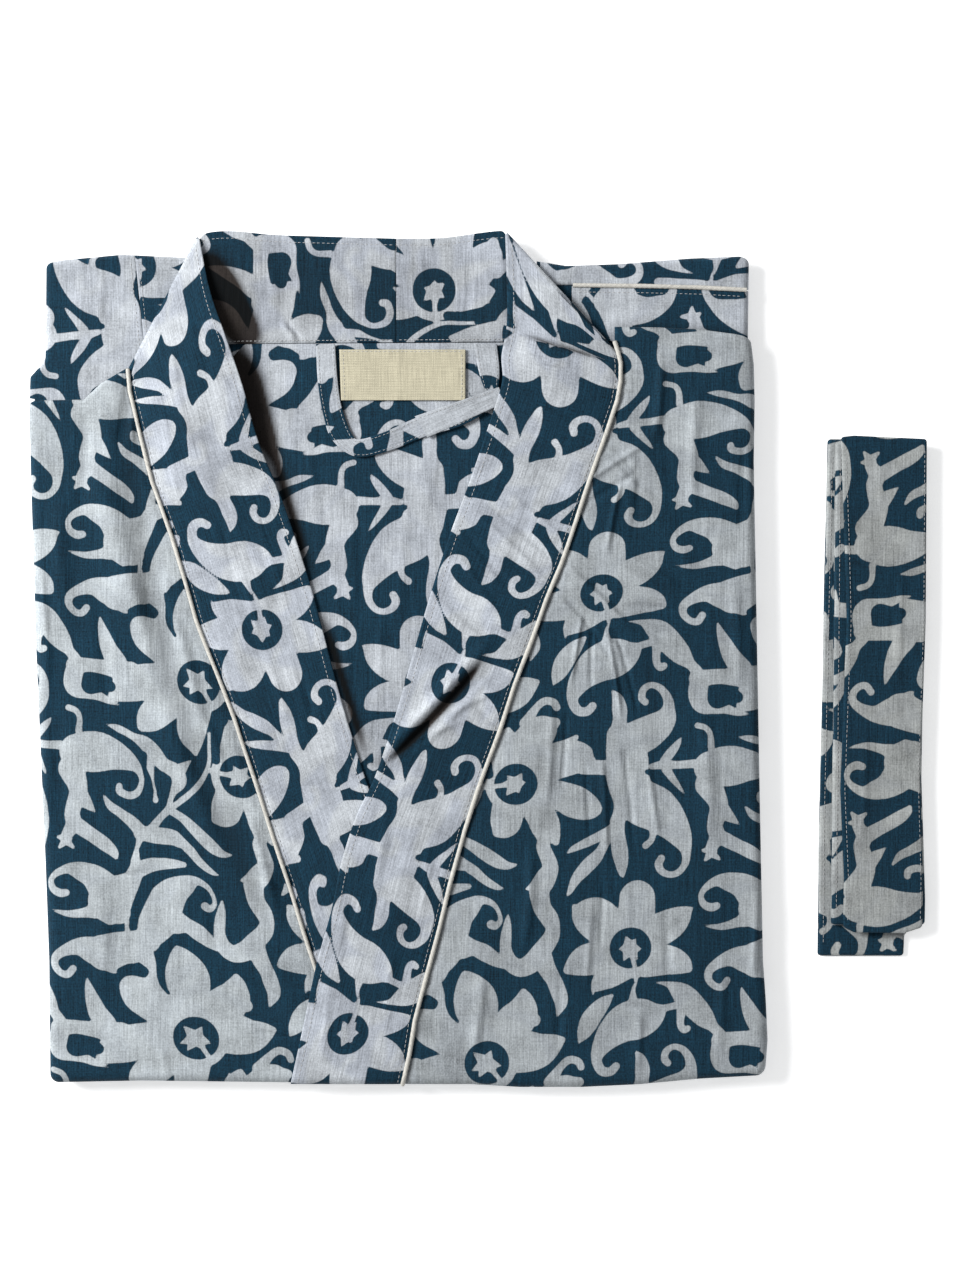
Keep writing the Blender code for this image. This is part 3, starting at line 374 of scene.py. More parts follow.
rightFront = [(70.2, 168.4, 14.6, 14.3, 229.3, 12.5, 0.9),
              (73.5, 164.0, 14.6, 15.1, 204.5, 14.5, 1.0),
              (74.7, 158.0, 14.5, 15.2, 180.5, 16.0, 1.2),
              (74.3, 150.0, 14.5, 12.4, 163.5, 16.8, 0.9),
              (71.2, 134.5, 14.45, 12.8, 150.5, 16.2, 0.6),
              (65.2, 118.0, 14.45, 8.0, 134.0, 15.6, 0.4),
              (52.8, 80.5, 14.45, -4.3, 97.5, 14.9, 0.2),
              (42.0, 52.5, 14.45, -15.1, 68.5, 14.6, 0.1),
              (29.5, 22.5, 14.45, -25.4, 37.0, 14.6, 0.1),
              (17.2, -14.5, 14.45, -35.6, 2.0, 14.9, 0.3),
              (8.0, -43.5, 14.45, -45.4, -32.0, 15.9, 0.6),
              (-2.3, -73.5, 14.5, -55.6, -62.5, 16.8, 0.7),
              (-11.0, -103.0, 14.5, -65.9, -84.5, 16.9, 0.7),
              (-19.0, -133.0, 14.5, -74.0, -109.5, 16.9, 0.7),
              (-26.0, -157.0, 14.5, -79.4, -135.5, 17.3, 0.7),
              (-32.5, -183.0, 14.5, -87.5, -165.0, 17.7, 0.6),
              (-38.0, -203.0, 14.5, -95.0, -200.0, 17.6, 0.6),
              (-43.3, -230.0, 14.5, -101.5, -229.5, 17.2, 0.5)]

# Hanging loop: outer X, Y, inner X, Y, Z
loopFront = [(-88.0, 170.6, -78.5, 170.6, 12.6), (-87.0, 150.0, -77.2, 152.0, 12.8),
             (-84.0, 132.0, -75.0, 137.0, 13.3), (-79.0, 118.5, -69.5, 122.0, 13.9),
             (-66.0, 109.8, -64.5, 118.6, 14.2), (-48.0, 113.4, -50.5, 122.8, 14.2),
             (-29.0, 121.0, -33.5, 130.4, 13.9), (-10.0, 126.6, -14.5, 135.8, 14.2),
             (8.2, 136.6, 5.0, 145.2, 14.5)]
loopLeg = [(8.2, 136.6, 5.0, 145.2, 13.0), (9.4, 143.0, 2.4, 147.6, 13.0),
           (10.5, 156.0, -0.5, 158.0, 12.6), (9.0, 170.6, -2.5, 170.6, 12.1)]

# Large folds of the part: start X, Y, end X, Y, half width, height
leftFolds = [(-138, -40, -119, -120, 8.0, 1.4), (-202, 128, -196, 96, 5.5, 0.9),
             (-171, 18, -158, -40, 7.0, 0.8), (-226, -70, -205, -150, 12.0, 0.6),
             (-120, -150, -98, -195, 7.0, 0.7)]
rightFolds = [(62, 112, 101, 70, 5.0, 0.9), (88, 118, 112, 52, 5.0, 0.6),
              (52, 40, 92, 16, 4.5, 0.8), (60, 2, 108, 14, 5.0, 0.6),
              (118, -30, 128, -150, 10.0, 0.6), (20, -120, 48, -200, 9.0, 0.5)]
rightBandFolds = [(-52, -57, 5, 9, 4.5, 1.1), (-47, -66, 8, -3, 3.5, -0.5),
                  (26, 170, 68, 154, 5.0, 1.0), (22, 178, 70, 163, 3.5, -0.5)]
leftBandFolds = [(-150, 128, -134, 80, 7.0, 0.7), (-140, 30, -110, -30, 8.0, 0.5)]


def bundleHeight(y):
    # Top of the hidden layers: level, and thinner by a straight ramp towards the neck
    part = np.clip((y - heights["rampStart"]) / (heights["rampEnd"] - heights["rampStart"]), 0, 1)
    return heights["bundle"] + (heights["neck"] - heights["bundle"]) * part


def read(table, value):
    # Second column of a table at a value of its first, straight between its rows
    rows = np.array(table)
    return np.interp(value, rows[:, 0], rows[:, 1])


def relief(x, y, folds):
    # Rounded ridges: height times exp(-(distance / half width) squared)
    height = np.zeros_like(x)
    for x0, y0, x1, y1, half, lift in folds:
        dx, dy = x1 - x0, y1 - y0
        along = np.clip(((x - x0) * dx + (y - y0) * dy) / (dx * dx + dy * dy), 0, 1)
        height += lift * np.exp(-((np.hypot(x - x0 - along * dx, y - y0 - along * dy) / half) ** 2))
    return height


def crease(x, y, rows, outer=0.33):
    # Creases read in photo pixels: start, end, half width in mm, height in mm and the bow of
    # the middle to one side in mm. Height falls off as exp(-(distance / half width) squared),
    # and fades to nothing over the outer thirds of its length
    height = np.zeros_like(x)
    for px0, py0, px1, py1, half, lift, bow in rows:
        x0, y0 = spot(px0, py0)
        x1, y1 = spot(px1, py1)
        length = math.hypot(x1 - x0, y1 - y0)
        ex, ey = (x1 - x0) / length, (y1 - y0) / length
        t = ((x - x0) * ex + (y - y0) * ey) / length
        away = -(x - x0) * ey + (y - y0) * ex - bow * 4 * t * (1 - t)
        fade = np.clip(np.minimum(t, 1 - t) / outer, 0, 1)
        height += lift * fade * fade * (3 - 2 * fade) * np.exp(-((away / half) ** 2))
    return height


def eased(height, depth):
    # Troughs flatten out before they reach the layer beneath: depth times tanh(height / depth)
    return np.where(height < 0, depth * np.tanh(height / depth), height)


def foldShade(grid, rows):
    # How far each point lies in the shade of a fold, from 0 to 1
    return np.clip(crease(grid[..., 0], grid[..., 1], rows), 0, 1)


def smoothRows(table, step):
    # Curve through a strip's rows, about a step apart along the middle between its two sides,
    # whose X and Y are the columns 0 and 1, and 3 and 4
    rows = np.array(table, float)
    ends = withEnds(rows)
    out = []
    for a, b, c, d in zip(ends[:-3], ends[1:-2], ends[2:-1], ends[3:]):
        run = (b[0:2] + b[3:5] - c[0:2] - c[3:5]) / 2
        t = np.arange(max(1, round(float(np.hypot(*run)) / step)))[:, None]
        out.append(curveThrough(a, b, c, d, t / len(t)))
    return np.vstack(out + [rows[-1:]])


def stations(lowRoll, highRoll, inner, rollSteps=6):
    # Places across a panel: (end, part of the way round its roll, part of the level width)
    turn = np.cos(np.linspace(0, math.pi / 2, rollSteps + 1))[:-1]
    out = [(-1, q, 0.0) for q in turn] if lowRoll else []
    out += [(0, 0.0, f) for f in inner]
    out += [(1, q, 1.0) for q in turn[::-1]] if highRoll else []
    return np.array(out)


def place(station, turned, low, high, lowReach, highReach):
    # X or Y of a station: even over the level width, and bunched up round a roll
    end, level = station[..., 0], station[..., 2]
    inside = low + lowReach + level * (high - highReach - low - lowReach)
    inside = np.where(end < 0, low + lowReach * (1 - turned), inside)
    return np.where(end > 0, high - highReach * (1 - turned), inside)


def panelGrid(sides, ends, rolls, inner, height):
    # Level inside, and turned down over a quarter ellipse at each rolled edge. rolls are
    # (reach, drop) for left, right, bottom and top, or None
    reach = [roll[0] if roll else 0.0 for roll in rolls]
    drops = [roll[1] if roll else 0.0 for roll in rolls]
    across = stations(rolls[0], rolls[1], inner[0])[None, :, :]
    up = stations(rolls[2], rolls[3], inner[1])[:, None, :]
    qx, qy = across[..., 1] + 0 * up[..., 1], up[..., 1] + 0 * across[..., 1]
    turnX, turnY = qx * np.sqrt(1 - qy ** 2 / 2), qy * np.sqrt(1 - qx ** 2 / 2)
    y = place(up, turnY, min(b for a, b in ends[0]), max(b for a, b in ends[1]),
              reach[2], reach[3])
    for _ in range(4):
        x = place(across, turnX, read(sides[0], y), read(sides[1], y), reach[0], reach[1])
        y = place(up, turnY, read(ends[0], x), read(ends[1], x), reach[2], reach[3])
    dropX = np.where(across[..., 0] < 0, drops[0], drops[1])
    dropY = np.where(up[..., 0] < 0, drops[2], drops[3])
    turned = turnX ** 2 + turnY ** 2
    drop = (dropX * turnX ** 2 + dropY * turnY ** 2) / np.maximum(turned, 1e-9)
    z = height(x, y) - drop * (1 - np.sqrt(np.clip(1 - turned, 0, 1)))
    return np.stack([x, y, z], axis=2)


def evenly(width, step):
    # Even shares from 0 to 1, about a step apart over a width
    return np.linspace(0, 1, max(2, round(width / step)) + 1)


def shifted(table, more):
    # The table with its second column moved by so many mm
    return [(a, b + more) for a, b in table]


def flatEdge(value):
    # A straight outline, beyond the robe at both ends
    return [(-300, value), (300, value)]


def acrossRows(rows, width, step):
    # Points straight across from one side of a strip to the other, and their shares of the way
    w = evenly(width, step)[None, :, None]
    return rows[:, None, 0:3] * (1 - w) + rows[:, None, 3:6] * w, w[..., 0]


def arcLengths(grid, axis):
    # Distance along the cloth from its first row or column, averaged over the other direction
    steps = np.linalg.norm(np.diff(grid, axis=axis), axis=2).mean(axis=1 - axis)
    return np.concatenate([[0], np.cumsum(steps)])


def levelled(steps):
    # Unit vectors along the level part of each step
    steps = steps * [1, 1, 0]
    return steps / np.linalg.norm(steps, axis=1, keepdims=True)


def turnedEdge(edge, before, radius, back):
    # Cloth folded under at an edge: half a circle of the radius, then back beneath itself
    out = levelled(edge - before)
    rows = []
    for angle in np.linspace(0.25, 1, 4) * math.pi:
        row = edge + out * radius * math.sin(angle)
        row[:, 2] -= radius * (1 - math.cos(angle))
        rows.append(row)
    return rows + [rows[-1] - out * back]


def addTurned(grid, radius, back, side=1):
    # The fold under, added to a grid's last column or, with side -1, to its first
    if side > 0:
        rows = turnedEdge(grid[:, -1], grid[:, -3], radius, back)
        return np.concatenate([grid, np.stack(rows, axis=1)], axis=1)
    rows = turnedEdge(grid[:, 0], grid[:, 2], radius, back)
    return np.concatenate([np.stack(rows[::-1], axis=1), grid], axis=1)


def hemmed(grid, radius, back):
    # Both sides folded under
    return addTurned(addTurned(grid, radius, back), radius, back, -1)


def edgePadded(values, rows, cols):
    # Outer rows and columns repeated so many times: before and after, for each
    return np.pad(values, (rows, cols) + ((0, 0),) * (values.ndim - 2), mode="edge")


def clothAxes(grid, flip=(1, 1)):
    # Flat cloth coordinates of a grid in mm: across is arc length over the columns, along the
    # same over the rows
    across, along = arcLengths(grid, 1), arcLengths(grid, 0)
    return np.stack(np.broadcast_arrays(across[None, :] * flip[0], along[:, None] * flip[1]),
                    axis=2).astype(float)


def layPrint(grid, cloth, flower, at, turn=0.0, mirror=False, scale=1.0):
    # Chart coordinates of a grid: the given flower's middle lies at a photo pixel, and the
    # pattern is turned anticlockwise by so many degrees after any mirroring
    x, y = spot(*at)
    flat = grid.reshape(-1, 3)
    near = np.argmin((flat[:, 0] - x) ** 2 + (flat[:, 1] - y) ** 2)
    here = cloth.reshape(-1, 2)[near] + (np.array([x, y]) - flat[near, :2])
    rel = (cloth - here) / (printRepeat["unit"] * scale)
    a = math.radians(turn)
    u = rel[..., 0] * math.cos(a) + rel[..., 1] * math.sin(a)
    v = -rel[..., 0] * math.sin(a) + rel[..., 1] * math.cos(a)
    u0, v0 = flowerChart[flower]["at"]
    return np.stack([u0 + (-u if mirror else u), v0 + v], axis=2)


def slipPrint(grid, chart, fold, steps):
    # Beyond a fold line the print has moved on by so many steps, as the cloth between is tucked in
    (ax, ay), (bx, by) = spot(*fold[:2]), spot(*fold[2:])
    beyond = (bx - ax) * (grid[..., 1] - ay) - (by - ay) * (grid[..., 0] - ax) > 0
    return chart + np.stack([0 * beyond, steps * beyond], axis=2)


# Pins: how far the print may miss them, and the unit in mm in which it is worked out
pinLook = {"ease": 0.002, "unit": 100}


def pinPrint(grid, cloth, pins):
    # Chart coordinates that pass through the pins, each a photo pixel and a place on the chart:
    # an even slope plus, for each pin, a weight times distance squared times its logarithm
    rows = np.array(pins, float)
    at = np.stack(spot(rows[:, 0], rows[:, 1]), axis=1)
    flat = grid.reshape(-1, 3)[:, :2]
    near = np.array([np.argmin(((flat - pin) ** 2).sum(axis=1)) for pin in at])
    here = (cloth.reshape(-1, 2)[near] + at - flat[near]) / pinLook["unit"]
    there = cloth.reshape(-1, 2) / pinLook["unit"]

    def bend(a, b):
        square = ((a[:, None] - b[None]) ** 2).sum(axis=2)
        return square * np.log(square + 1e-12)

    def slope(a):
        return np.concatenate([np.ones((len(a), 1)), a], axis=1)

    n = len(rows)
    known = np.zeros((n + 3, n + 3))
    known[:n, :n] = bend(here, here) + pinLook["ease"] * np.eye(n)
    known[:n, n:] = slope(here)
    known[n:, :n] = slope(here).T
    weights = np.linalg.solve(known, np.concatenate([rows[:, 2:], np.zeros((3, 2))]))
    out = bend(there, here) @ weights[:n] + slope(there) @ weights[n:]
    return out.reshape(cloth.shape)


def readChart(chart, uv):
    # Value of the chart at chart coordinates, between its four nearest steps
    high, wide = chart.shape
    fu = np.mod(uv[..., 0] / printRepeat["width"], 1) * wide
    fv = np.mod(uv[..., 1] / printRepeat["height"], 1) * high
    i, j = np.floor(fu).astype(int), np.floor(fv).astype(int)
    a, b = fu - i, fv - j
    i, j = i % wide, j % high
    i1, j1 = (i + 1) % wide, (j + 1) % high
    return ((chart[j, i] * (1 - a) + chart[j, i1] * a) * (1 - b)
            + (chart[j1, i] * (1 - a) + chart[j1, i1] * a) * b)


def makeMesh(name, points, faces, looks):
    # A smooth mesh from points in mm and faces of four corners
    mesh = bpy.data.meshes.new(name)
    mesh.from_pydata((points * mm).tolist(), [], faces.tolist())
    mesh.materials.append(looks)
    mesh.shade_smooth()
    return putIn(name, mesh)


def gridFaces(rows, cols, start, wrap=False):
    # Corners of a grid's faces, counted from start, and joined round its columns if it wraps
    i, j = np.meshgrid(np.arange(rows - 1), np.arange(cols if wrap else cols - 1), indexing="ij")
    a, b = start + i * cols + j, start + i * cols + (j + 1) % cols
    return np.stack([a, b, b + cols, a + cols], axis=2).reshape(-1, 4)


def facesAway(grid, facing):
    # Whether a grid's faces look along a direction, or away from a line of points inside it
    n = np.cross(np.gradient(grid, axis=1), np.gradient(grid, axis=0))
    towards = facing if np.ndim(facing) == 1 else grid - facing
    return (n * towards).sum() > 0


def clothMesh(name, parts, looks):
    # One mesh from several grids. Each part has grid, cloth (mm along the threads) and chart
    # (print coordinates), and may have ghost (those of the layer beneath), dark (the shade that
    # a fold holds), wrap and facing
    points, faces, cloth, field, ghost, shade = [], [], [], [], [], []
    start = 0
    for part in parts:
        grid = part["grid"]
        rows, cols = grid.shape[:2]
        face = gridFaces(rows, cols, start, part.get("wrap", False))
        away = facesAway(grid, part.get("facing", np.array([0, 0, 1.0])))
        faces.append(face if away else face[:, ::-1])
        points.append(grid.reshape(-1, 3))
        cloth.append(part["cloth"].reshape(-1, 2))
        field.append(readChart(printField, part["chart"]).ravel())
        ghost.append(readChart(printField,
                               part.get("ghost", part["chart"] + printRepeat["beneath"])).ravel())
        shade.append(np.broadcast_to(part.get("dark", 0.0), (rows, cols)).ravel())
        start += rows * cols
    made = makeMesh(name, np.vstack(points), np.vstack(faces), looks)
    mesh = made.data
    for label, values in (("printField", field), ("ghostField", ghost), ("foldShade", shade)):
        layer = mesh.attributes.new(label, "FLOAT", "POINT")
        layer.data.foreach_set("value", np.concatenate(values).astype(np.float32))
    corners = np.empty(len(mesh.loops), dtype=np.int32)
    mesh.loops.foreach_get("vertex_index", corners)
    threads = mesh.uv_layers.new(name="threads")
    threads.data.foreach_set("uv", np.vstack(cloth)[corners].astype(np.float32).ravel())
    return made


def finishPiece(made, nodes):
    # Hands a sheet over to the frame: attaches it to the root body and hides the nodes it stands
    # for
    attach(made, "root")
    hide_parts(*nodes)
    print("made", made.name, len(made.data.polygons), "faces")


def besides(ahead):
    # Unit vectors across, level, and up, for directions ahead
    ahead = ahead / np.linalg.norm(ahead, axis=1, keepdims=True)
    across = np.cross(ahead, [0, 0, 1.0])
    across /= np.linalg.norm(across, axis=1, keepdims=True)
    return across, np.cross(across, ahead)


def tubeAlong(path, radius, sides):
    # Round section carried along a path of points: cosine across and sine up, times a radius
    # that may change along it
    across, up = besides(np.gradient(path, axis=0))
    angle = (np.arange(sides) * math.tau / sides - math.pi / 2)[None, :, None]
    ring = across[:, None] * np.cos(angle) + up[:, None] * np.sin(angle)
    return path[:, None] + np.reshape(radius, (-1, 1, 1)) * ring


def seamLine(table, step, lift, roll=None):
    # Points along a seam table of (Y, X) rows, turned down at the end over a quarter ellipse
    reach, drop = roll or (0.0, 0.0)
    end = table[0][0]
    y = np.linspace(table[-1][0], end + reach, round((table[-1][0] - end) / step) + 1)
    z = np.full_like(y, lift)
    if roll:
        turn = np.linspace(0, math.pi / 2, 7)[1:]
        y = np.concatenate([y, end + reach * (1 - np.sin(turn))])
        z = np.concatenate([z, lift - drop * (1 - np.cos(turn))])
    return np.stack([read(table, y), y, z], axis=1)


def edgeShape(away, depth, reach):
    # Cloth drawn down beside a seam: depth times exp(-(distance / reach) squared)
    return -depth * np.exp(-((np.maximum(away, 0) / reach) ** 2))


# Gathers, in mm: lengths of their waves, of the waves' wander and of their swell, and how far
# from the seam they have lost two thirds of their height
gather = {"wave": 1.55, "wander": 5.3, "wanders": 1.7, "swell": 17.0, "least": 0.55, "reach": 4.5}


def puckers(away, along, amount, seed):
    # Short uneven gathers that run out from a seam: a sine along it whose phase wanders with
    # another sine, times a slow swell, times exp(-distance / reach)
    wander = gather["wanders"] * np.sin(along / gather["wander"] + seed)
    wave = np.sin(along / gather["wave"] + wander + seed)
    swell = gather["least"] + (1 - gather["least"]) * np.sin(along / gather["swell"] + 2 * seed)
    return amount * swell * wave * np.exp(-np.maximum(away, 0) / gather["reach"])


# Colours are linear. The right front's and the belt's pales are darkened as painted shade
# where the window's light falls off to the right; shade is the colour of painted shade in folds
dyes = {"indigo": (0.0046, 0.0255, 0.0455), "pale": (0.40, 0.425, 0.455),
        "paleWarm": (0.392, 0.426, 0.445), "paleDoubled": (0.452, 0.478, 0.506),
        "paleRightShaded": (0.345, 0.372, 0.388), "paleBeltShaded": (0.335, 0.350, 0.345),
        "cream": (0.595, 0.575, 0.525), "label": (0.535, 0.495, 0.365),
        "thread": (0.50, 0.50, 0.50), "shade": (0.055, 0.042, 0.035)}

# Cloth: lengths in mm of uneven patches across, along and up, and how strongly each tells
weaveLook = {"pitch": 0.36, "warp": (0.5, 16.0, 1.0), "weft": (13.0, 0.45, 1.0),
             "fine": (1.9, 24.0, 1.0), "broad": (5.5, 46.0, 1.0)}
blockLook = {"soft": 0.3, "waver": (7.0, 7.0, 1.0), "wavers": 0.5, "fray": (0.5, 1.6, 1.0),
             "frays": 0.22}
cottonLook = {"slub": 1.25, "grain": 0.8, "blotch": 1.25, "blotchScale": 52.0, "inkSlub": 3.0,
              "inkGrain": 1.6, "inkFaded": 1.7, "fading": 0.35, "through": (0.62, 0.66, 0.80),
              "crinkle": 1.68, "relief": 0.55, "specular": 0.16, "sheenRoughness": 0.45}


def add(tree, kind, inputs=(), **settings):
    # A node with its settings, and its inputs given by name or number as values or as links
    node = tree.nodes.new(kind)
    for key, value in settings.items():
        setattr(node, key, value)
    for key, value in dict(inputs).items():
        socket = node.inputs[key]
        if isinstance(value, bpy.types.NodeSocket):
            tree.links.new(value, socket)
        elif socket.type == "RGBA" and len(value) == 3:
            socket.default_value = (*value, 1)
        else:
            socket.default_value = value
    return node


def calc(tree, operation, a, b=0.0):
    return add(tree, "ShaderNodeMath", {0: a, 1: b}, operation=operation).outputs[0]


def plus(tree, a, b):
    return calc(tree, "ADD", a, b)


def times(tree, a, b):
    return calc(tree, "MULTIPLY", a, b)


def centred(tree, noise, gain):
    # Gain times (noise less a half), so that it lies about nought
    return times(tree, calc(tree, "SUBTRACT", noise, 0.5), gain)


def scaledBy(tree, colour, factor):
    return add(tree, "ShaderNodeVectorMath", {0: colour, "Scale": factor},
               operation="SCALE").outputs[0]


def blend(tree, factor, a, b, how="MIX"):
    node = add(tree, "ShaderNodeMix", data_type="RGBA", blend_type=how)
    for socket, value in ((node.inputs[0], factor), (node.inputs[6], a), (node.inputs[7], b)):
        if isinstance(value, bpy.types.NodeSocket):
            tree.links.new(value, socket)
        else:
            socket.default_value = value if isinstance(value, float) else (*value, 1)
    return node.outputs[2]


def patches(tree, vector, scale, detail, roughness=0.5):
    return add(tree, "ShaderNodeTexNoise", {"Vector": vector, "Scale": scale, "Detail": detail,
                                            "Roughness": roughness}).outputs["Fac"]


def stretched(tree, vector, size, detail=2.0):
    # Noise drawn out along the threads: size is the length of a patch across, along and up
    scaled = add(tree, "ShaderNodeVectorMath", {0: vector, 1: tuple(1 / s for s in size)},
                 operation="MULTIPLY").outputs[0]
    return patches(tree, scaled, 1.0, detail, 0.55)


def newGroup(name, inputs, outputs):
    # A node group with named inputs (name, kind, value) and outputs (name, kind)
    group = bpy.data.node_groups.new(name, "ShaderNodeTree")
    for label, kind, value in inputs:
        socket = group.interface.new_socket(label, in_out="INPUT", socket_type="NodeSocket" + kind)
        if value is not None:
            socket.default_value = value
    for label, kind in outputs:
        group.interface.new_socket(label, in_out="OUTPUT", socket_type="NodeSocket" + kind)
    return group, group.nodes.new("NodeGroupInput"), group.nodes.new("NodeGroupOutput")


def useGroup(tree, group, inputs):
    node = tree.nodes.new("ShaderNodeGroup")
    node.node_tree = group
    for key, value in inputs.items():
        if isinstance(value, bpy.types.NodeSocket):
            tree.links.new(value, node.inputs[key])
        else:
            node.inputs[key].default_value = value
    return node.outputs


def makeWeave():
    # Plain weave: sines of both threads multiplied, and slubs drawn out along each of the two
    group, given, out = newGroup(
        "plainWeave", [("Threads", "Vector", None), ("Pitch", "Float", weaveLook["pitch"])],
        [("Height", "Float"), ("Slub", "Float"), ("Crinkle", "Float")])
    threads, pitch = given.outputs["Threads"], given.outputs["Pitch"]
    apart = add(group, "ShaderNodeSeparateXYZ", {0: threads}).outputs
    crossed = times(group, *[
        calc(group, "SINE", calc(group, "DIVIDE", times(group, axis, math.tau), pitch))
        for axis in (apart[0], apart[1])])
    warp = stretched(group, threads, weaveLook["warp"])
    weft = stretched(group, threads, weaveLook["weft"])
    slub = plus(group, times(group, warp, 0.6), times(group, weft, 0.4))
    fine = stretched(group, threads, weaveLook["fine"], 3.0)
    broad = stretched(group, threads, weaveLook["broad"])
    crinkle = plus(group, times(group, fine, 0.45), times(group, broad, 0.55))
    height = plus(group, times(group, crossed, 0.03), times(group, slub, 0.12))
    for label, value in (("Height", height), ("Slub", slub), ("Crinkle", crinkle)):
        group.links.new(value, out.inputs[label])
    return group


def makeBlockPrint():
    # Light where the printed field is above the edge. The edge wavers as a block's does
    group, given, out = newGroup(
        "blockPrint", [("Field", "Float", 0.0), ("Threads", "Vector", None),
                       ("Edge", "Float", printRepeat["edge"]),
                       ("Soft", "Float", blockLook["soft"])],
        [("Light", "Float")])
    threads, edge, soft = (given.outputs[key] for key in ("Threads", "Edge", "Soft"))
    waver = centred(group, stretched(group, threads, blockLook["waver"]), blockLook["wavers"])
    fray = centred(group, stretched(group, threads, blockLook["fray"], 1.0), blockLook["frays"])
    here = plus(group, plus(group, given.outputs["Field"], waver), fray)
    ramp = add(group, "ShaderNodeMapRange", {
        "Value": here, "From Min": calc(group, "SUBTRACT", edge, soft),
        "From Max": plus(group, edge, soft)}, interpolation_type="SMOOTHSTEP")
    group.links.new(ramp.outputs[0], out.inputs["Light"])
    return group


weaveGroup = makeWeave()
blockGroup = makeBlockPrint()


def newMaterial(name, roughness, sheen=0.0):
    made = bpy.data.materials.new(name)
    made.use_nodes = True
    shader = made.node_tree.nodes["Principled BSDF"]
    for label, value in (("Roughness", roughness), ("Sheen Weight", sheen),
                         ("Specular IOR Level", cottonLook["specular"]),
                         ("Sheen Roughness", cottonLook["sheenRoughness"])):
        shader.inputs[label].default_value = value
    return made, made.node_tree, shader


def readAttribute(tree, name):
    return add(tree, "ShaderNodeAttribute", attribute_name=name).outputs["Fac"]


def onThreads(tree):
    return add(tree, "ShaderNodeUVMap", uv_map="threads").outputs[0]


def onBody(tree):
    return add(tree, "ShaderNodeTexCoord").outputs["Object"]


def inFolds(tree, colour):
    # Colour times the shade's, by as much as the piece's foldShade says
    dark = blend(tree, 1.0, colour, dyes["shade"], "MULTIPLY")
    return blend(tree, readAttribute(tree, "foldShade"), colour, dark)


def finishLook(tree, shader, colour, height, relief, depth=0.001, roughness=None):
    # Joins colour, relief and roughness to the shader
    tree.links.new(colour, shader.inputs["Base Color"])
    if roughness is not None:
        tree.links.new(roughness, shader.inputs["Roughness"])
    bump = add(tree, "ShaderNodeBump", {"Strength": relief, "Distance": depth, "Height": height})
    tree.links.new(bump.outputs[0], shader.inputs["Normal"])


def printedCotton(name, pale, ghost):
    # Indigo ground with light motifs, through which the layer beneath shows faintly. Each tone
    # is one plus slubs, grain and, on the light, blotches, all about nought
    look = cottonLook
    made, tree, shader = newMaterial(name, 0.86, 0.05)
    threads = onThreads(tree)
    weave = useGroup(tree, weaveGroup, {"Threads": threads})
    light = useGroup(tree, blockGroup, {"Field": readAttribute(tree, "printField"),
                                        "Threads": threads})[0]
    beneath = useGroup(tree, blockGroup, {"Field": readAttribute(tree, "ghostField"),
                                          "Threads": threads, "Edge": 0.6, "Soft": 2.2})[0]
    blotch = patches(tree, onBody(tree), look["blotchScale"], 4.0, 0.65)
    grain = stretched(tree, threads, (0.9, 1.1, 1.0), 1.0)
    tone = plus(tree, centred(tree, weave["Slub"], look["slub"]), 1.0)
    tone = plus(tree, centred(tree, grain, look["grain"]), tone)
    tone = plus(tree, centred(tree, blotch, look["blotch"]), tone)
    through = times(tree, calc(tree, "SUBTRACT", 1.0, beneath), ghost)
    paleSeen = blend(tree, through, pale, tuple(c * k for c, k in zip(pale, look["through"])))
    inkTone = plus(tree, centred(tree, weave["Slub"], look["inkSlub"]),
                   plus(tree, centred(tree, grain, look["inkGrain"]), 1.0))
    ink = blend(tree, times(tree, blotch, look["fading"]), dyes["indigo"],
                tuple(c * look["inkFaded"] for c in dyes["indigo"]))
    colour = blend(tree, light, scaledBy(tree, ink, inkTone), scaledBy(tree, paleSeen, tone))
    height = plus(tree, weave["Height"], times(tree, weave["Crinkle"], look["crinkle"]))
    finishLook(tree, shader, inFolds(tree, colour), height, look["relief"],
               roughness=plus(tree, times(tree, weave["Slub"], 0.18), 0.76))
    return made


def plainCotton(name, colour, pitch, turn, ribs=0.0):
    # Undyed cloth: a weave turned on the surface, with uneven threads and faint soiling, and
    # ribs so many mm apart
    made, tree, shader = newMaterial(name, 0.8, 0.1)
    threads = onThreads(tree)
    turned = add(tree, "ShaderNodeVectorRotate", {"Vector": threads, "Angle": math.radians(turn)},
                 rotation_type="Z_AXIS").outputs[0]
    weave = useGroup(tree, weaveGroup, {"Threads": turned, "Pitch": pitch})
    soil = patches(tree, onBody(tree), 120.0, 4.0)
    tone = plus(tree, centred(tree, weave["Slub"], 1.5), plus(tree, times(tree, soil, 0.16), 0.92))
    height = times(tree, weave["Height"], 2.0)
    if ribs:
        apart = add(tree, "ShaderNodeSeparateXYZ", {0: threads}).outputs
        rib = calc(tree, "SINE", times(tree, apart[1], math.tau / ribs))
        height = plus(tree, height, times(tree, rib, 0.10))
        tone = plus(tree, tone, times(tree, rib, 0.05))
    finishLook(tree, shader, inFolds(tree, scaledBy(tree, colour, tone)), height, 0.7,
               roughness=plus(tree, times(tree, soil, 0.12), 0.74))
    return made


def threadCotton(name, colour):
    # Sewing thread: darker and lighter by turns, as it is twisted
    made, tree, shader = newMaterial(name, 0.7, 0.1)
    twist = patches(tree, onBody(tree), 2600.0, 1.0)
    seen = blend(tree, twist, tuple(c * 0.72 for c in colour), tuple(c * 1.15 for c in colour))
    finishLook(tree, shader, seen, twist, 0.4, 0.0002)
    return made


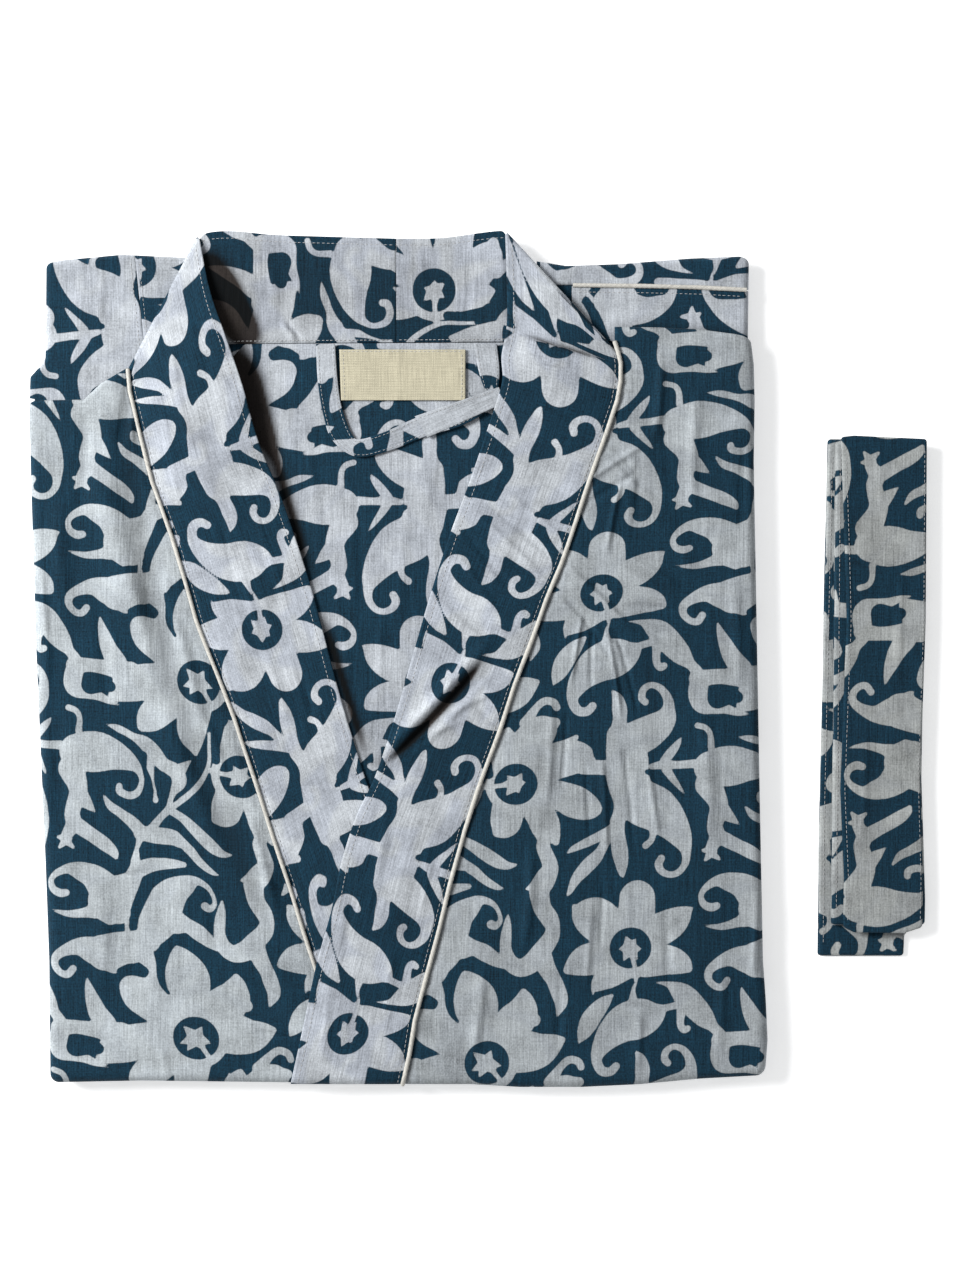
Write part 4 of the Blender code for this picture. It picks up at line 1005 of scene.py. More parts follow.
frontCloth = printedCotton("printedVoile", dyes["paleWarm"], 0.10)
# The right front's cloth is the front's made darker: painted shade where the window's light falls
# off to the right
rightShadedCloth = printedCotton("printedVoileRightShaded", dyes["paleRightShaded"], 0.12)
# The belt's cloth is greyer than the robe's, and darker as painted shade where the window's light
# falls off to the right
beltShadedCloth = printedCotton("printedVoileBeltShaded", dyes["paleBeltShaded"], 0.14)
bandCloth = printedCotton("printedVoileDoubled", dyes["paleDoubled"], 0.34)
innerCloth = printedCotton("printedVoileInside", dyes["pale"], 0.16)
creamCloth = plainCotton("creamPiping", dyes["cream"], 0.42, 45.0)
labelCloth = plainCotton("labelTwill", dyes["label"], 0.5, 0.0, 0.9)
paleThread = threadCotton("sewingThread", dyes["thread"])
print("materials ready")


printField = chartPrint()
print("print charted, light share", round(float((printField > printRepeat["edge"]).mean()), 2))

seamRoom = 1.95       # from the middle of the piping to the level cloth beside it
seamDitch = (1.7, 1.5)                      # reach and depth of the cloth drawn down at the piping
# Folds under, each the radius of the turn and how far the cloth goes back beneath
bandHem, loopHem, labelHem = (0.55, 2.5), (0.42, 1.2), (0.38, 1.5)
ditchRows, hemRows = 3, 5                   # rows that a ditch and a hem add
stitchPaths = []      # every row of machine stitches: points, pitch, size


def stitch(points, pitch, size, lift=0.0):
    # Marks a row of stitches, raised by so many mm, for makeStitches
    stitchPaths.append((points + [0, 0, lift], pitch, size))


def addDitch(grid, side, reach, depth, axis=1):
    # Cloth drawn down into a seam: three more rows beyond an edge, over a quarter ellipse, whose
    # depth is depth times (1 - sqrt(1 - q squared)) at a share q of its reach
    if axis == 0:
        return addDitch(grid.transpose(1, 0, 2), side, reach, depth).transpose(1, 0, 2)
    edge, before = (grid[:, -1], grid[:, -3]) if side > 0 else (grid[:, 0], grid[:, 2])
    out = levelled(edge - before)
    rows = []
    for q in (0.4, 0.75, 1.0):
        row = edge + out * reach * q
        row[:, 2] -= depth * (1 - math.sqrt(1 - q * q))
        rows.append(row)
    if side > 0:
        return np.concatenate([grid, np.stack(rows, axis=1)], axis=1)
    return np.concatenate([np.stack(rows[::-1], axis=1), grid], axis=1)


def lookUnder(chart, slide=(7.3, 12.1)):
    # The layer beneath, turned over and laid a little aside
    return np.stack([slide[0] - chart[..., 0], chart[..., 1] + slide[1]], axis=2)


# Fronts. Gathers are their height and seed, side is the seam's way out from the middle, and
# creases are as tall as gain says and no deeper than deepest
leftInner = [(-231, -87.5), (-205, -84.5), (-197, -82.6)]
leftInner += [row for row in shifted(leftSeam, -seamRoom) if row[0] > -196]
rightInner = shifted(rightSeam, seamRoom)
sideRoll, topRoll, sleeveRoll = (5.0, 4.6), (3.0, 2.2), (3.0, 3.4)
frontLook = {"gain": 3.0, "deepest": 1.2, "slope": 0.94, "draw": (0.5, 1.6)}
leftPanel = {
    "step": 1.1, "cloth": frontCloth, "seam": leftInner, "side": -1, "gathers": (0.22, 1.3),
    "folds": leftFolds,
    "shade": [
        (124, 350, 130, 510, 5.5, 0.3, 1), (128, 450, 156, 640, 6.0, 0.34, -2),
        (150, 590, 188, 750, 6.0, 0.3, 0), (180, 690, 236, 860, 6.5, 0.26, -2),
        (222, 800, 270, 930, 6.5, 0.34, -2), (60, 470, 68, 620, 3.0, 0.1, -3),
        (96, 860, 92, 1000, 3.5, 0.08, 2), (206, 640, 230, 760, 3.5, 0.14, 1)],
    "pins": [
        (50, 960, 7.2, 12.1), (48, 882, 7.1, 19.8), (66, 1046, 9.16, 3.5), (196, 1038, 21.38, 5.1),
        (198, 682, 21.38, 41.3), (112, 710, 12.47, 37.2), (221, 898, 24.3, 20.0),
        (235, 854, 25.9, 24.8), (240, 777, 26.0, 32.65), (58, 845, 7.8, 23.8),
        (98, 814, 11.8, 26.8), (82, 682, 9.26, 39.9)],
    "creases": [
        (80, 425, 134, 660, 8.5, 0.75, 5), (104, 430, 160, 665, 7.0, -0.55, 5),
        (150, 670, 236, 860, 7.0, 0.55, -4), (176, 700, 262, 900, 5.5, -0.6, -3),
        (126, 385, 119, 452, 2.6, -0.5, 1), (134, 372, 131, 450, 1.6, 0.4, 0),
        (122, 560, 150, 690, 5.0, 0.7, 4), (141, 545, 170, 700, 3.0, -0.6, 5),
        (165, 590, 205, 760, 3.4, 0.6, 3), (98, 600, 105, 720, 3.0, -0.4, 2),
        (214, 735, 262, 905, 4.5, -1.1, 3), (238, 790, 283, 935, 3.2, 0.8, 1),
        (196, 700, 232, 800, 2.4, 0.5, 2), (62, 480, 70, 640, 5.0, 0.5, -3),
        (84, 400, 80, 520, 3.4, -0.4, 2), (52, 700, 60, 840, 4.0, -0.4, 2),
        (235, 850, 272, 861, 0.8, -0.45, 0), (256, 873, 300, 900, 0.8, -0.45, 0),
        (238, 975, 306, 1010, 0.8, -0.55, 0), (252, 1030, 303, 1040, 0.9, -0.5, 0),
        (106, 876, 152, 872, 0.7, -0.3, 0), (180, 540, 196, 620, 2.2, 0.4, 1),
        (40, 560, 48, 700, 2.2, 0.35, 1), (100, 880, 96, 1010, 4.0, 0.35, 3),
        (160, 1040, 168, 1084, 2.0, 0.3, 0), (205, 880, 214, 960, 2.6, -0.35, 2)]}
rightPanel = {
    "step": 1.1, "cloth": rightShadedCloth, "seam": rightInner, "side": 1, "gathers": (0.26, 2.9),
    "folds": rightFolds,
    "shade": [
        (646, 420, 636, 560, 5.0, 0.2, 1), (612, 560, 690, 600, 2.5, 0.16, 1),
        (546, 690, 540, 880, 4.0, 0.16, 1), (640, 600, 652, 780, 5.0, 0.18, 2),
        (700, 820, 706, 1010, 5.5, 0.16, 1), (590, 860, 584, 1010, 4.5, 0.14, 0),
        (596, 690, 604, 860, 3.0, 0.14, 0), (716, 560, 724, 740, 4.5, 0.14, 1),
        (500, 900, 486, 1060, 4.0, 0.14, 1), (664, 340, 654, 470, 3.5, 0.14, 2),
        (401, 1111, 436, 954, 1.3, 0.42, 0), (420, 1017, 479, 793, 1.3, 0.42, 0),
        (460, 855, 513, 705, 1.3, 0.42, 0), (493, 762, 561, 568, 1.3, 0.42, 0),
        (535, 642, 627, 388, 1.3, 0.42, 0), (609, 446, 628, 347, 1.3, 0.42, 0)],
    "pins": [
        (630, 948, 0.0, 15.4), (739, 1053, 10.25, 4), (505, 892, -12.15, 22), (726, 894, 9.9, 20),
        (515, 784, -10.43, 32.67), (613, 743, -0.46, 36), (707, 699, 9.16, 39.7),
        (601, 593, 0, 51.6), (670, 543, 7.1, 56.0), (678, 610, 7.2, 48.3), (671, 501, 7.55, 60.7),
        (642, 528, 4.55, 58.2)],
    "creases": [
        (566, 497, 652, 440, 1.8, 0.45, 1), (575, 512, 658, 462, 1.8, -0.35, 1),
        (600, 452, 668, 510, 1.6, 0.35, -1), (612, 445, 650, 486, 1.4, -0.25, 0),
        (560, 560, 640, 640, 1.4, 0.7, 1), (556, 585, 618, 668, 1.3, -0.7, 1),
        (566, 606, 640, 662, 1.2, 0.5, -1), (628, 560, 684, 590, 1.4, 0.5, 1),
        (620, 606, 680, 612, 1.3, -0.5, 1), (618, 618, 672, 650, 1.2, 0.5, 0),
        (604, 620, 622, 730, 1.2, 0.55, 1), (612, 622, 640, 722, 1.1, -0.5, 1),
        (594, 612, 592, 705, 1.1, -0.45, -1), (583, 604, 570, 690, 1.2, 0.45, 0),
        (624, 470, 606, 560, 1.6, 0.5, -1), (640, 440, 634, 540, 2.2, -0.5, 1),
        (660, 350, 652, 450, 2.6, 0.5, 2), (700, 380, 694, 520, 3.4, 0.5, -2),
        (552, 690, 545, 820, 2.2, 0.5, 1), (566, 700, 560, 800, 1.5, -0.45, 1),
        (600, 740, 606, 880, 1.6, 0.5, 1), (622, 735, 634, 860, 1.4, -0.4, 1),
        (646, 750, 660, 850, 1.6, 0.4, 0), (586, 760, 590, 850, 1.2, -0.4, 0),
        (530, 840, 522, 960, 2.6, 0.5, 2), (480, 960, 470, 1070, 3.0, 0.5, 2),
        (590, 890, 584, 1000, 2.0, 0.45, 1), (603, 880, 600, 960, 1.3, -0.4, 0),
        (700, 700, 706, 860, 4.0, 0.5, 3), (730, 560, 738, 700, 3.4, 0.45, 2),
        (640, 1000, 634, 1080, 2.4, 0.4, 1), (720, 940, 716, 1060, 3.0, 0.4, 2),
        (560, 970, 556, 1060, 2.2, -0.4, 1), (745, 430, 741, 540, 2.4, -0.4, 0),
        (664, 900, 668, 1000, 2.2, -0.4, 1), (758, 880, 752, 990, 2.0, 0.35, 0)]}


def frontHeight(piece):
    # Level, plus large folds and creases, drawn down and gathered beside the piping
    def height(x, y):
        away = (x - read(piece["seam"], y)) * piece["side"] * frontLook["slope"]
        return (heights["front"] + relief(x, y, piece["folds"])
                + eased(frontLook["gain"] * crease(x, y, piece["creases"]), frontLook["deepest"])
                + edgeShape(away, *frontLook["draw"]) + puckers(away, y, *piece["gathers"]))
    return height


def makeFront(name, node, piece, sides, ends, rolls, size):
    inner = (evenly(size[0], piece["step"]), evenly(size[1], piece["step"]))
    grid = panelGrid(sides, ends, rolls, inner, frontHeight(piece))
    cloth = grid[..., :2].copy()
    chart = pinPrint(grid, cloth, piece["pins"])
    wide = addDitch(grid, -piece["side"], *seamDitch)
    pads = (0, 0), (0, ditchRows) if piece["side"] < 0 else (ditchRows, 0)
    part = {"grid": wide, "cloth": edgePadded(cloth, *pads), "chart": edgePadded(chart, *pads)}
    part["ghost"] = lookUnder(part["chart"])
    part["dark"] = foldShade(wide, piece["shade"])
    made = clothMesh(name, [part], piece["cloth"])
    finishPiece(made, [node])


makeFront("robe_front_left", "front_left", leftPanel, (leftSide, leftInner), (bottomEnd, leftTop),
          (sideRoll, None, sideRoll, topRoll), (150, 388))
makeFront("robe_front_right", "front_right", rightPanel, (rightInner, rightSide),
          (bottomEnd, rightTop), (None, sideRoll, sideRoll, topRoll), (196, 410))

# Back panel, seen from inside through the neck: fine where it shows, coarse beneath the fronts
backPanel = {
    "fineX": (-192, 84), "fineY": (-100, 171), "step": 1.2, "coarse": 9.0, "inset": 6.2,
    "gain": 1.5, "draw": (0.5, 1.5), "flower": 0, "at": (426, 683), "turn": -2.0,
    "creases": [
        (300, 420, 320, 560, 3.0, 0.4, 2), (352, 470, 362, 640, 2.4, -0.4, 2),
        (410, 480, 400, 640, 2.6, 0.4, -2), (380, 600, 376, 720, 2.0, 0.4, 1),
        (440, 450, 425, 560, 2.0, -0.3, 1), (270, 380, 300, 470, 2.4, 0.35, 1),
        (404, 508, 414, 524, 0.5, 0.5, 0), (330, 560, 352, 700, 1.8, 0.35, 1)],
    "shade": [
        (226, 330, 256, 455, 8.0, 2.2, 0), (244, 350, 272, 470, 6.0, 1.5, 0),
        (258, 400, 318, 602, 3.6, 1.1, 0), (314, 590, 372, 775, 3.0, 1.2, 0),
        (340, 352, 342, 440, 3.0, 0.7, 0), (370, 770, 405, 740, 3.0, 0.4, 0)]}


def graded(low, high, fineLow, fineHigh, fine, coarse):
    # Parts of a width: coarse outside the fine stretch, fine inside it
    a = np.linspace(low, fineLow, max(2, round((fineLow - low) / coarse)) + 1)[:-1]
    b = np.linspace(fineLow, fineHigh, round((fineHigh - fineLow) / fine) + 1)
    c = np.linspace(fineHigh, high, max(2, round(abs(high - fineHigh) / coarse)) + 1)[1:]
    out = np.concatenate([a, b, c]) if high > fineHigh + 1 else np.concatenate([a, b])
    return (out - out[0]) / (out[-1] - out[0])


def makeBack():
    piece = backPanel
    inset = piece["inset"]
    acrossSteps = graded(-232, 144, *piece["fineX"], piece["step"], piece["coarse"])
    upSteps = graded(-225, 171, *piece["fineY"], piece["step"], piece["coarse"])
    sides = (shifted(leftSide, inset), shifted(rightSide, -inset))
    grid = panelGrid(sides, (shifted(bottomEnd, inset), backTop), (None,) * 4,
                     (acrossSteps, upSteps), lambda x, y: bundleHeight(y) + heights["back"]
                     + piece["gain"] * crease(x, y, piece["creases"])
                     + edgeShape(read(backTop, x) - y, *piece["draw"]))
    cloth = grid[..., :2].copy()
    chart = layPrint(grid, cloth, piece["flower"], piece["at"], piece["turn"], True)
    part = {"grid": grid, "cloth": cloth, "chart": chart, "ghost": lookUnder(chart),
            "dark": foldShade(grid, piece["shade"])}
    made = clothMesh("robe_back", [part], innerCloth)
    finishPiece(made, ["back_panel"])


makeBack()

# Neck bands: a back run, a turn at the shoulder and a front run. The print of each run is a
# flower, the photo pixel and turn of its middle, whether it is mirrored, and its scale
bandLook = {"gain": 1.5, "deepest": 2.4, "draw": (0.45, 1.6), "gathers": 0.22,
            "backDitch": (0.3, 0.9), "middleDitch": (0.32, 0.9)}
leftBand = {
    "step": 1.15, "wall": 1.3, "width": 62, "front": (0, (262, 630), 180.0, True, 1.0),
    "back": (2, (260, 376), 88.0, True, 1.03),
    "creases": [
        (205, 250, 262, 440, 2.2, 0.5, 1), (190, 300, 215, 420, 3.0, -0.5, 2),
        (170, 330, 200, 480, 2.4, 0.5, -2), (236, 560, 262, 650, 2.2, 0.5, 1),
        (215, 500, 236, 600, 1.8, -0.4, 1), (262, 640, 292, 742, 2.4, 0.5, 1),
        (292, 650, 318, 740, 1.8, -0.45, 1), (230, 590, 300, 600, 0.8, 0.4, 0),
        (298, 786, 332, 784, 0.7, -0.4, 0), (288, 740, 332, 746, 0.8, 0.35, 0),
        (264, 875, 300, 884, 0.8, -0.4, 0), (290, 905, 312, 916, 0.8, -0.4, 0),
        (240, 470, 292, 620, 1.6, 0.4, 0), (160, 400, 180, 520, 1.8, 0.4, 1)],
    "tuckShade": [
        (190, 400, 226, 530, 5.0, 0.26, 1), (170, 320, 196, 460, 3.5, 0.16, -2),
        (216, 250, 262, 420, 3.0, 0.14, 1), (236, 640, 280, 760, 4.0, 0.16, 1),
        (250, 540, 290, 660, 3.0, 0.14, 0)]}
rightBand = {
    "step": 1.15, "wall": 1.3, "width": 62, "front": (0, (450, 683), 180.0, True, 1.01),
    "back": (1, (434, 290), -88.0, True, 1.03),
    "creases": [
        (466, 505, 552, 588, 1.7, 1.0, 1), (482, 500, 560, 566, 1.5, -0.9, 1),
        (500, 492, 566, 540, 1.6, 0.9, 1), (455, 520, 520, 600, 1.6, -0.7, 0),
        (452, 548, 500, 620, 1.5, 0.6, 1), (520, 470, 575, 500, 1.8, -0.6, 1),
        (430, 600, 492, 650, 2.0, 0.9, 1), (432, 690, 470, 655, 1.4, 0.7, 0),
        (500, 660, 540, 700, 1.5, 0.6, 0), (440, 720, 500, 690, 1.8, 0.6, 1),
        (470, 700, 512, 742, 1.4, -0.5, 0), (404, 745, 470, 720, 1.6, 0.6, 1),
        (420, 800, 470, 782, 1.4, -0.4, 0), (388, 800, 372, 900, 2.4, 0.5, 1),
        (430, 830, 420, 930, 2.4, 0.4, 1), (350, 890, 342, 980, 2.2, -0.4, 1),
        (365, 1003, 382, 1013, 0.8, -0.4, 0), (392, 930, 384, 1040, 2.4, 0.4, 1),
        (330, 980, 322, 1070, 2.0, 0.4, 0), (512, 332, 614, 362, 0.9, -1.3, 0),
        (514, 328, 616, 357, 1.8, 0.9, 0), (535, 372, 590, 396, 1.6, -0.6, 0),
        (520, 400, 580, 430, 1.4, 0.5, 1)],
    "tuck": [
        (379, 771, 492, 650, 1.5, -2.4, -1.5), (372, 762, 486, 642, 2.6, 1.5, -1.5),
        (395, 773, 500, 663, 2.2, 0.7, -1.5)],
    "slip": ((517, 334, 612, 362), -3.0),
    "tuckShade": [
        (379, 771, 492, 650, 2.3, 2.2, -1.5), (514, 333, 613, 362, 0.9, 0.9, 0),
        (530, 470, 500, 600, 3.5, 0.16, 1), (466, 690, 420, 800, 4.0, 0.16, 1),
        (420, 830, 392, 960, 4.0, 0.16, 1), (352, 880, 338, 1010, 3.5, 0.16, 0)]}
backRun = {
    "creases": [
        (279, 320, 298, 343, 1.1, 0.8, 0), (284, 318, 303, 340, 0.9, -0.7, 0),
        (268, 250, 276, 330, 2.4, 0.4, 1), (330, 250, 326, 330, 2.0, -0.3, 0),
        (420, 245, 424, 330, 2.4, 0.3, 1), (470, 250, 466, 330, 2.0, -0.3, 0),
        (500, 240, 504, 300, 2.0, 0.3, 0)],
    "shade": [
        (198, 240, 250, 356, 7.0, 2.6, 0), (216, 262, 262, 356, 5.5, 1.3, 0),
        (120, 290, 600, 290, 34.0, 0.24, 0), (512, 240, 508, 330, 3.0, 0.4, 0)]}


def stripGrid(piece, table, folds, creases, seed, seam=None, room=0.0):
    # Upper side of a run of band, straight across from seam to free edge. Its arch lifts it by
    # four times its height times w (1 - w), for w across from 0 to 1
    rows = smoothRows(table, piece["step"])
    if seam is not None:
        rows[1:, 0] = read(seam, rows[1:, 1]) + room
    grid, flat = acrossRows(rows, piece["width"], piece["step"])
    x, y = grid[..., 0], grid[..., 1]
    across = np.linalg.norm(rows[:, 3:5] - rows[:, 0:2], axis=1)[:, None] * flat
    along = arcLengths(grid, 0)[:, None]
    grid[..., 2] += rows[:, 6:7] * 4 * flat * (1 - flat) + relief(x, y, folds) + piece["wall"] / 2
    grid[..., 2] += (eased(bandLook["gain"] * crease(x, y, creases), bandLook["deepest"])
                     + edgeShape(across, *bandLook["draw"]))
    grid[..., 2] += puckers(across, along, bandLook["gathers"], seed)
    return grid


def stripPart(grid, flip, flower, at, turn, mirror, scale, ditch, shadeRows, slip=None):
    # Adds the seam's ditch and the turned free edge, and reads the print on the unrolled strip
    cloth = clothAxes(grid, flip) if flip else grid[..., :2].copy()
    chart = layPrint(grid, cloth, flower, at, turn, mirror, scale)
    if slip:
        chart = slipPrint(grid, chart, *slip)
    wide = addTurned(addDitch(grid, -1, *ditch), *bandHem)
    pads = (0, 0), (ditchRows, hemRows)
    chart = edgePadded(chart, *pads)
    return {"grid": wide, "cloth": edgePadded(cloth, *pads), "chart": chart,
            "ghost": lookUnder(chart, (3.1, 7.7)), "dark": foldShade(wide, shadeRows)}


def turnedOver(low, high, side, half):
    # Outside of the half turn from the upper run down to the lower one: cosine outwards and
    # sine up, times half the gap plus half the wall
    middle, radius = (low + high) / 2, (high[:, 2:] - low[:, 2:]) / 2 + half
    along = low[-1, :2] - low[0, :2]
    out = side * np.array([-along[1], along[0], 0]) / np.hypot(*along)
    up = np.array([0, 0, 1.0])
    angles = math.pi / 2 - math.pi * np.linspace(1, 0.14, 7)
    return np.stack([middle + out * radius * math.cos(a) + up * radius * math.sin(a)
                     for a in angles])


def edgePath(grid, inset):
    # A line of stitches that keeps its distance from a strip's last column
    gap = np.linalg.norm(grid[:, -1] - grid[:, -2], axis=1).mean()
    return grid[:, -1 - max(1, round(inset / gap))]


def rolledEnd(grid, reach, drop):
    # A run's last rows turned down over a quarter ellipse, as in addDitch
    last = grid[-1]
    along = levelled(last - grid[-2])
    ends = []
    for q in np.sin(np.linspace(0, math.pi / 2, 7)):
        row = last - along * reach * (1 - q)
        row[:, 2] -= drop * (1 - math.sqrt(1 - q * q))
        ends.append(row)
    keep = grid[:-1, :, 1].min(axis=1) > last[:, 1].max() + reach + 1
    return np.concatenate([grid[:-1][keep], np.array(ends)])


def makeBand(name, node, piece, backTable, frontTable, seam, room, folds, side, flip, roll):
    half = piece["wall"] / 2
    backGrid = stripGrid(piece, backTable, [], backRun["creases"], 2.7)
    frontGrid = stripGrid(piece, frontTable, folds, piece["creases"] + piece.get("tuck", []), 0.7,
                          seam, room)
    if roll:
        frontGrid = rolledEnd(frontGrid, *roll)
    back = stripPart(backGrid, None, *piece["back"], bandLook["backDitch"], backRun["shade"])
    low, high = backGrid[-1] - [0, 0, half], frontGrid[0] - [0, 0, half]
    over = turnedOver(low, high, side, half)
    front = stripPart(np.concatenate([over[:-1], frontGrid]), flip, *piece["front"], seamDitch,
                      piece["tuckShade"], piece.get("slip"))
    back["grid"] = addDitch(back["grid"], -1, *bandLook["middleDitch"], axis=0)
    for key in ("cloth", "chart", "ghost", "dark"):
        back[key] = edgePadded(back[key], (ditchRows, 0), (0, 0))
    made = clothMesh(name, [back, front], bandCloth)
    finishPiece(made, [node])
    stitch(edgePath(frontGrid, 3.2), 2.6, 0.17)
    stitch(edgePath(backGrid, 3.0), 2.6, 0.15)
    stitch(backGrid[:, 1], 2.3, 0.18, 0.1)
    stitch(frontGrid[8:, 1], 2.8, 0.15, 0.1)


makeBand("robe_band_left", "band_left", leftBand, leftBack, leftFront, leftSeam, seamRoom,
         leftBandFolds, 1, (1, -1), None)
makeBand("robe_band_right", "band_right", rightBand, rightBack, rightFront, rightSeam, -seamRoom,
         rightBandFolds, -1, (-1, -1), sideRoll)

# Sleeves folded behind, the shoulder beyond the sleeve seam, and the right sleeve's cuff strip
sleeveTop = [(-235, 214.8), (-226, 216.6), (-194, 219.6), (-161, 218), (-148, 217)]
sleeveSide = [(136, -244), (153, -243.5), (158, -239), (163, -235.4), (215, -235)]
sleeveFoot = [(-244, 141.4), (-239, 140.4), (-236, 136.5), (-170, 136.5)]
shoulderSeam = [(130, -177.4), (220, -187)]
cuffTop = [(31, 216), (47, 213.5), (76, 214.5), (114, 217.5), (141, 218.6), (147, 217)]
cuffSide = [(168, 145.5), (220, 146.2)]
cuffRoom = 1.65       # from the middle of the cuff's piping to the cloth on each side
cuffDitch, sleeveDitch, ditchDepth = 1.4, 0.14, 0.9
sleeveCreases = [(60, 300, 118, 318, 2.2, 0.5, 1), (70, 330, 120, 336, 1.6, 0.35, 0),
                 (100, 262, 96, 330, 2.0, 0.4, 1), (150, 255, 160, 330, 2.0, 0.35, 1),
                 (600, 300, 680, 306, 2.0, 0.35, 0), (660, 318, 740, 322, 2.4, -0.3, 1),
                 (517, 334, 612, 362, 2.0, 0.8, 1), (700, 262, 706, 282, 1.6, 0.3, 0)]


def sleeveHeight(x, y):
    # The hidden layers' height, plus the cloth's own and its creases
    return bundleHeight(y) + heights["back"] + crease(x, y, sleeveCreases)


def makeSleevePiece(name, node, sides, ends, rolls, size, step, flower, at, turn, ditch,
                    shadeRows=()):
    # ditch is the seam's axis, side and reach
    grid = panelGrid(sides, ends, rolls, (evenly(size[0], step), evenly(size[1], step)),
                     sleeveHeight)
    cloth = grid[..., :2].copy()
    chart = layPrint(grid, cloth, flower, at, turn)
    axis, side, reach = ditch
    grid = addDitch(grid, side, reach, ditchDepth, axis=axis)
    pads = [(0, 0), (0, 0)]
    pads[axis] = (0, ditchRows) if side > 0 else (ditchRows, 0)
    chart = edgePadded(chart, *pads)
    part = {"grid": grid, "cloth": edgePadded(cloth, *pads), "chart": chart,
            "ghost": lookUnder(chart), "dark": foldShade(grid, shadeRows)}
    made = clothMesh(name, [part], innerCloth)
    finishPiece(made, [node])


makeSleevePiece("robe_sleeve_left", "sleeve_left", (sleeveSide, shoulderSeam),
                (sleeveFoot, sleeveTop), (sleeveRoll, None, None, sleeveRoll), (66, 83), 1.1, 1,
                (231, 305), 188.0, (1, 1, sleeveDitch))
makeSleevePiece("robe_shoulder_left", "shoulder_left",
                (shifted(shoulderSeam, 0.3), flatEdge(-152)), (flatEdge(156), sleeveTop),
                (None, None, None, sleeveRoll), (36, 64), 1.1, 0, (134, 266), -2.0,
                (1, -1, sleeveDitch))
makeSleevePiece("robe_cuff_right", "cuff_right", (flatEdge(31), cuffSide),
                (shifted(cuffSeam, cuffRoom), cuffTop), (None, sleeveRoll, None, sleeveRoll),
                (115, 17), 1.0, 0, (714, 310), 176.0, (0, -1, cuffDitch),
                [(560, 262, 640, 262, 2.0, 0.2, 0)])
makeSleevePiece("robe_sleeve_right", "sleeve_right", (flatEdge(50), cuffSide),
                ([(50, 172.4), (72, 172.4), (80, 168), (150, 168)],
                 shifted(cuffSeam, -cuffRoom)), (None, sleeveRoll, None, None), (96, 34), 1.1, 0,
                (697, 192), 222.0, (0, 1, cuffDitch), [(600, 330, 760, 334, 4.0, 0.5, 0)])


def onSleeve(x, y):
    # Points on the sleeve's cloth
    return np.stack([x, y, sleeveHeight(x, y)], axis=1)


seamY = np.linspace(216, 160, 60)
seamPoints = onSleeve(read(shoulderSeam, seamY), seamY)
stitch(seamPoints + [-2.4, 0, 0], 2.4, 0.16)
stitch(seamPoints + [2.2, 0, 0], 2.4, 0.14)
cuffX = np.linspace(52, 144, 90)
stitch(onSleeve(cuffX, read(cuffSeam, cuffX) - 3.6), 2.6, 0.16)

# Piping: cord wrapped in a cream bias strip, drawn in a little at every stitch
piping = {"radius": 1.32, "step": 0.9, "sides": 14, "pinch": 0.05, "pitch": 2.7,
          "uneven": (0.035, 7.1), "swayAcross": (0.12, 9.0), "swayUp": (0.10, 6.3),
          "cuffLift": 1.75}


def makePiping(name, node, path, share, seed):
    # A tube of share times the radius, a little uneven by one sine and drawn in by a cosine at
    # each stitch, on a path that sways by a sine across and one up
    (uneven, wave), (across, waveX), (up, waveZ) = (
        piping[key] for key in ("uneven", "swayAcross", "swayUp"))
    along = np.concatenate([[0], np.cumsum(np.linalg.norm(np.diff(path, axis=0), axis=1))])
    radius = share * piping["radius"] * (
        1 + uneven * np.sin(along / wave + seed)
        - piping["pinch"] * np.cos(along * math.tau / piping["pitch"]))
    path = path + np.stack([across * np.sin(along / waveX + seed), 0 * along,
                            up * np.sin(along / waveZ + 2 * seed)], axis=1)
    rings = tubeAlong(path, radius, piping["sides"])
    around = np.arange(piping["sides"]) * math.tau * piping["radius"] / piping["sides"]
    cloth = np.stack(np.broadcast_arrays(around[None, :], along[:, None]), axis=2).astype(float)
    made = clothMesh(name, [{"grid": rings, "cloth": cloth, "chart": cloth * 0, "wrap": True,
                             "facing": path[:, None]}], creamCloth)
    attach(made, "root")
    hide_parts(node)
    print("made", name, round(float(along[-1])), "mm of piping")


makePiping("robe_piping_left", "piping_left", seamLine(leftSeam, piping["step"], heights["piping"]),
           0.82, 0.4)
makePiping("robe_piping_right", "piping_right",
           seamLine(rightSeam, piping["step"], heights["piping"], sideRoll), 0.92, 1.9)
cuffX = np.linspace(50.5, 144.5, 105)
cuffY = read(cuffSeam, cuffX)
cuffPath = np.stack([cuffX, cuffY, bundleHeight(cuffY) + piping["cuffLift"]], axis=1)
makePiping("robe_piping_cuff", "piping_cuff", cuffPath, 0.9, 3.1)

# Hanging loop of the same cloth, sewn into the neck seam and folded back at its right corner
loop = {"step": 0.9, "width": 10, "at": (379, 345), "flower": 2, "turn": 30.0,
        "plain": [(415, 417, 499, 388), (427, 437, 505, 402)],
        "plainHeight": [(-36, 15.25), (-12, 15.2), (10, 15.9)], "paleSpot": [14.0, 18.0],
        "lift": 0.5, "wave": (0.25, 8.0), "plainWave": (0.2, 7)}


def loopGrid(table, step, width):
    # Straight across from the loop's outer side to its inner one, waving a little up and down
    grid = acrossRows(smoothRows(np.array(table)[:, [0, 1, 4, 2, 3, 4]], step), width, step)[0]
    wave, length = loop["wave"]
    grid[..., 2] += loop["lift"] + wave * np.sin(arcLengths(grid, 0)[:, None] / length)
    return grid


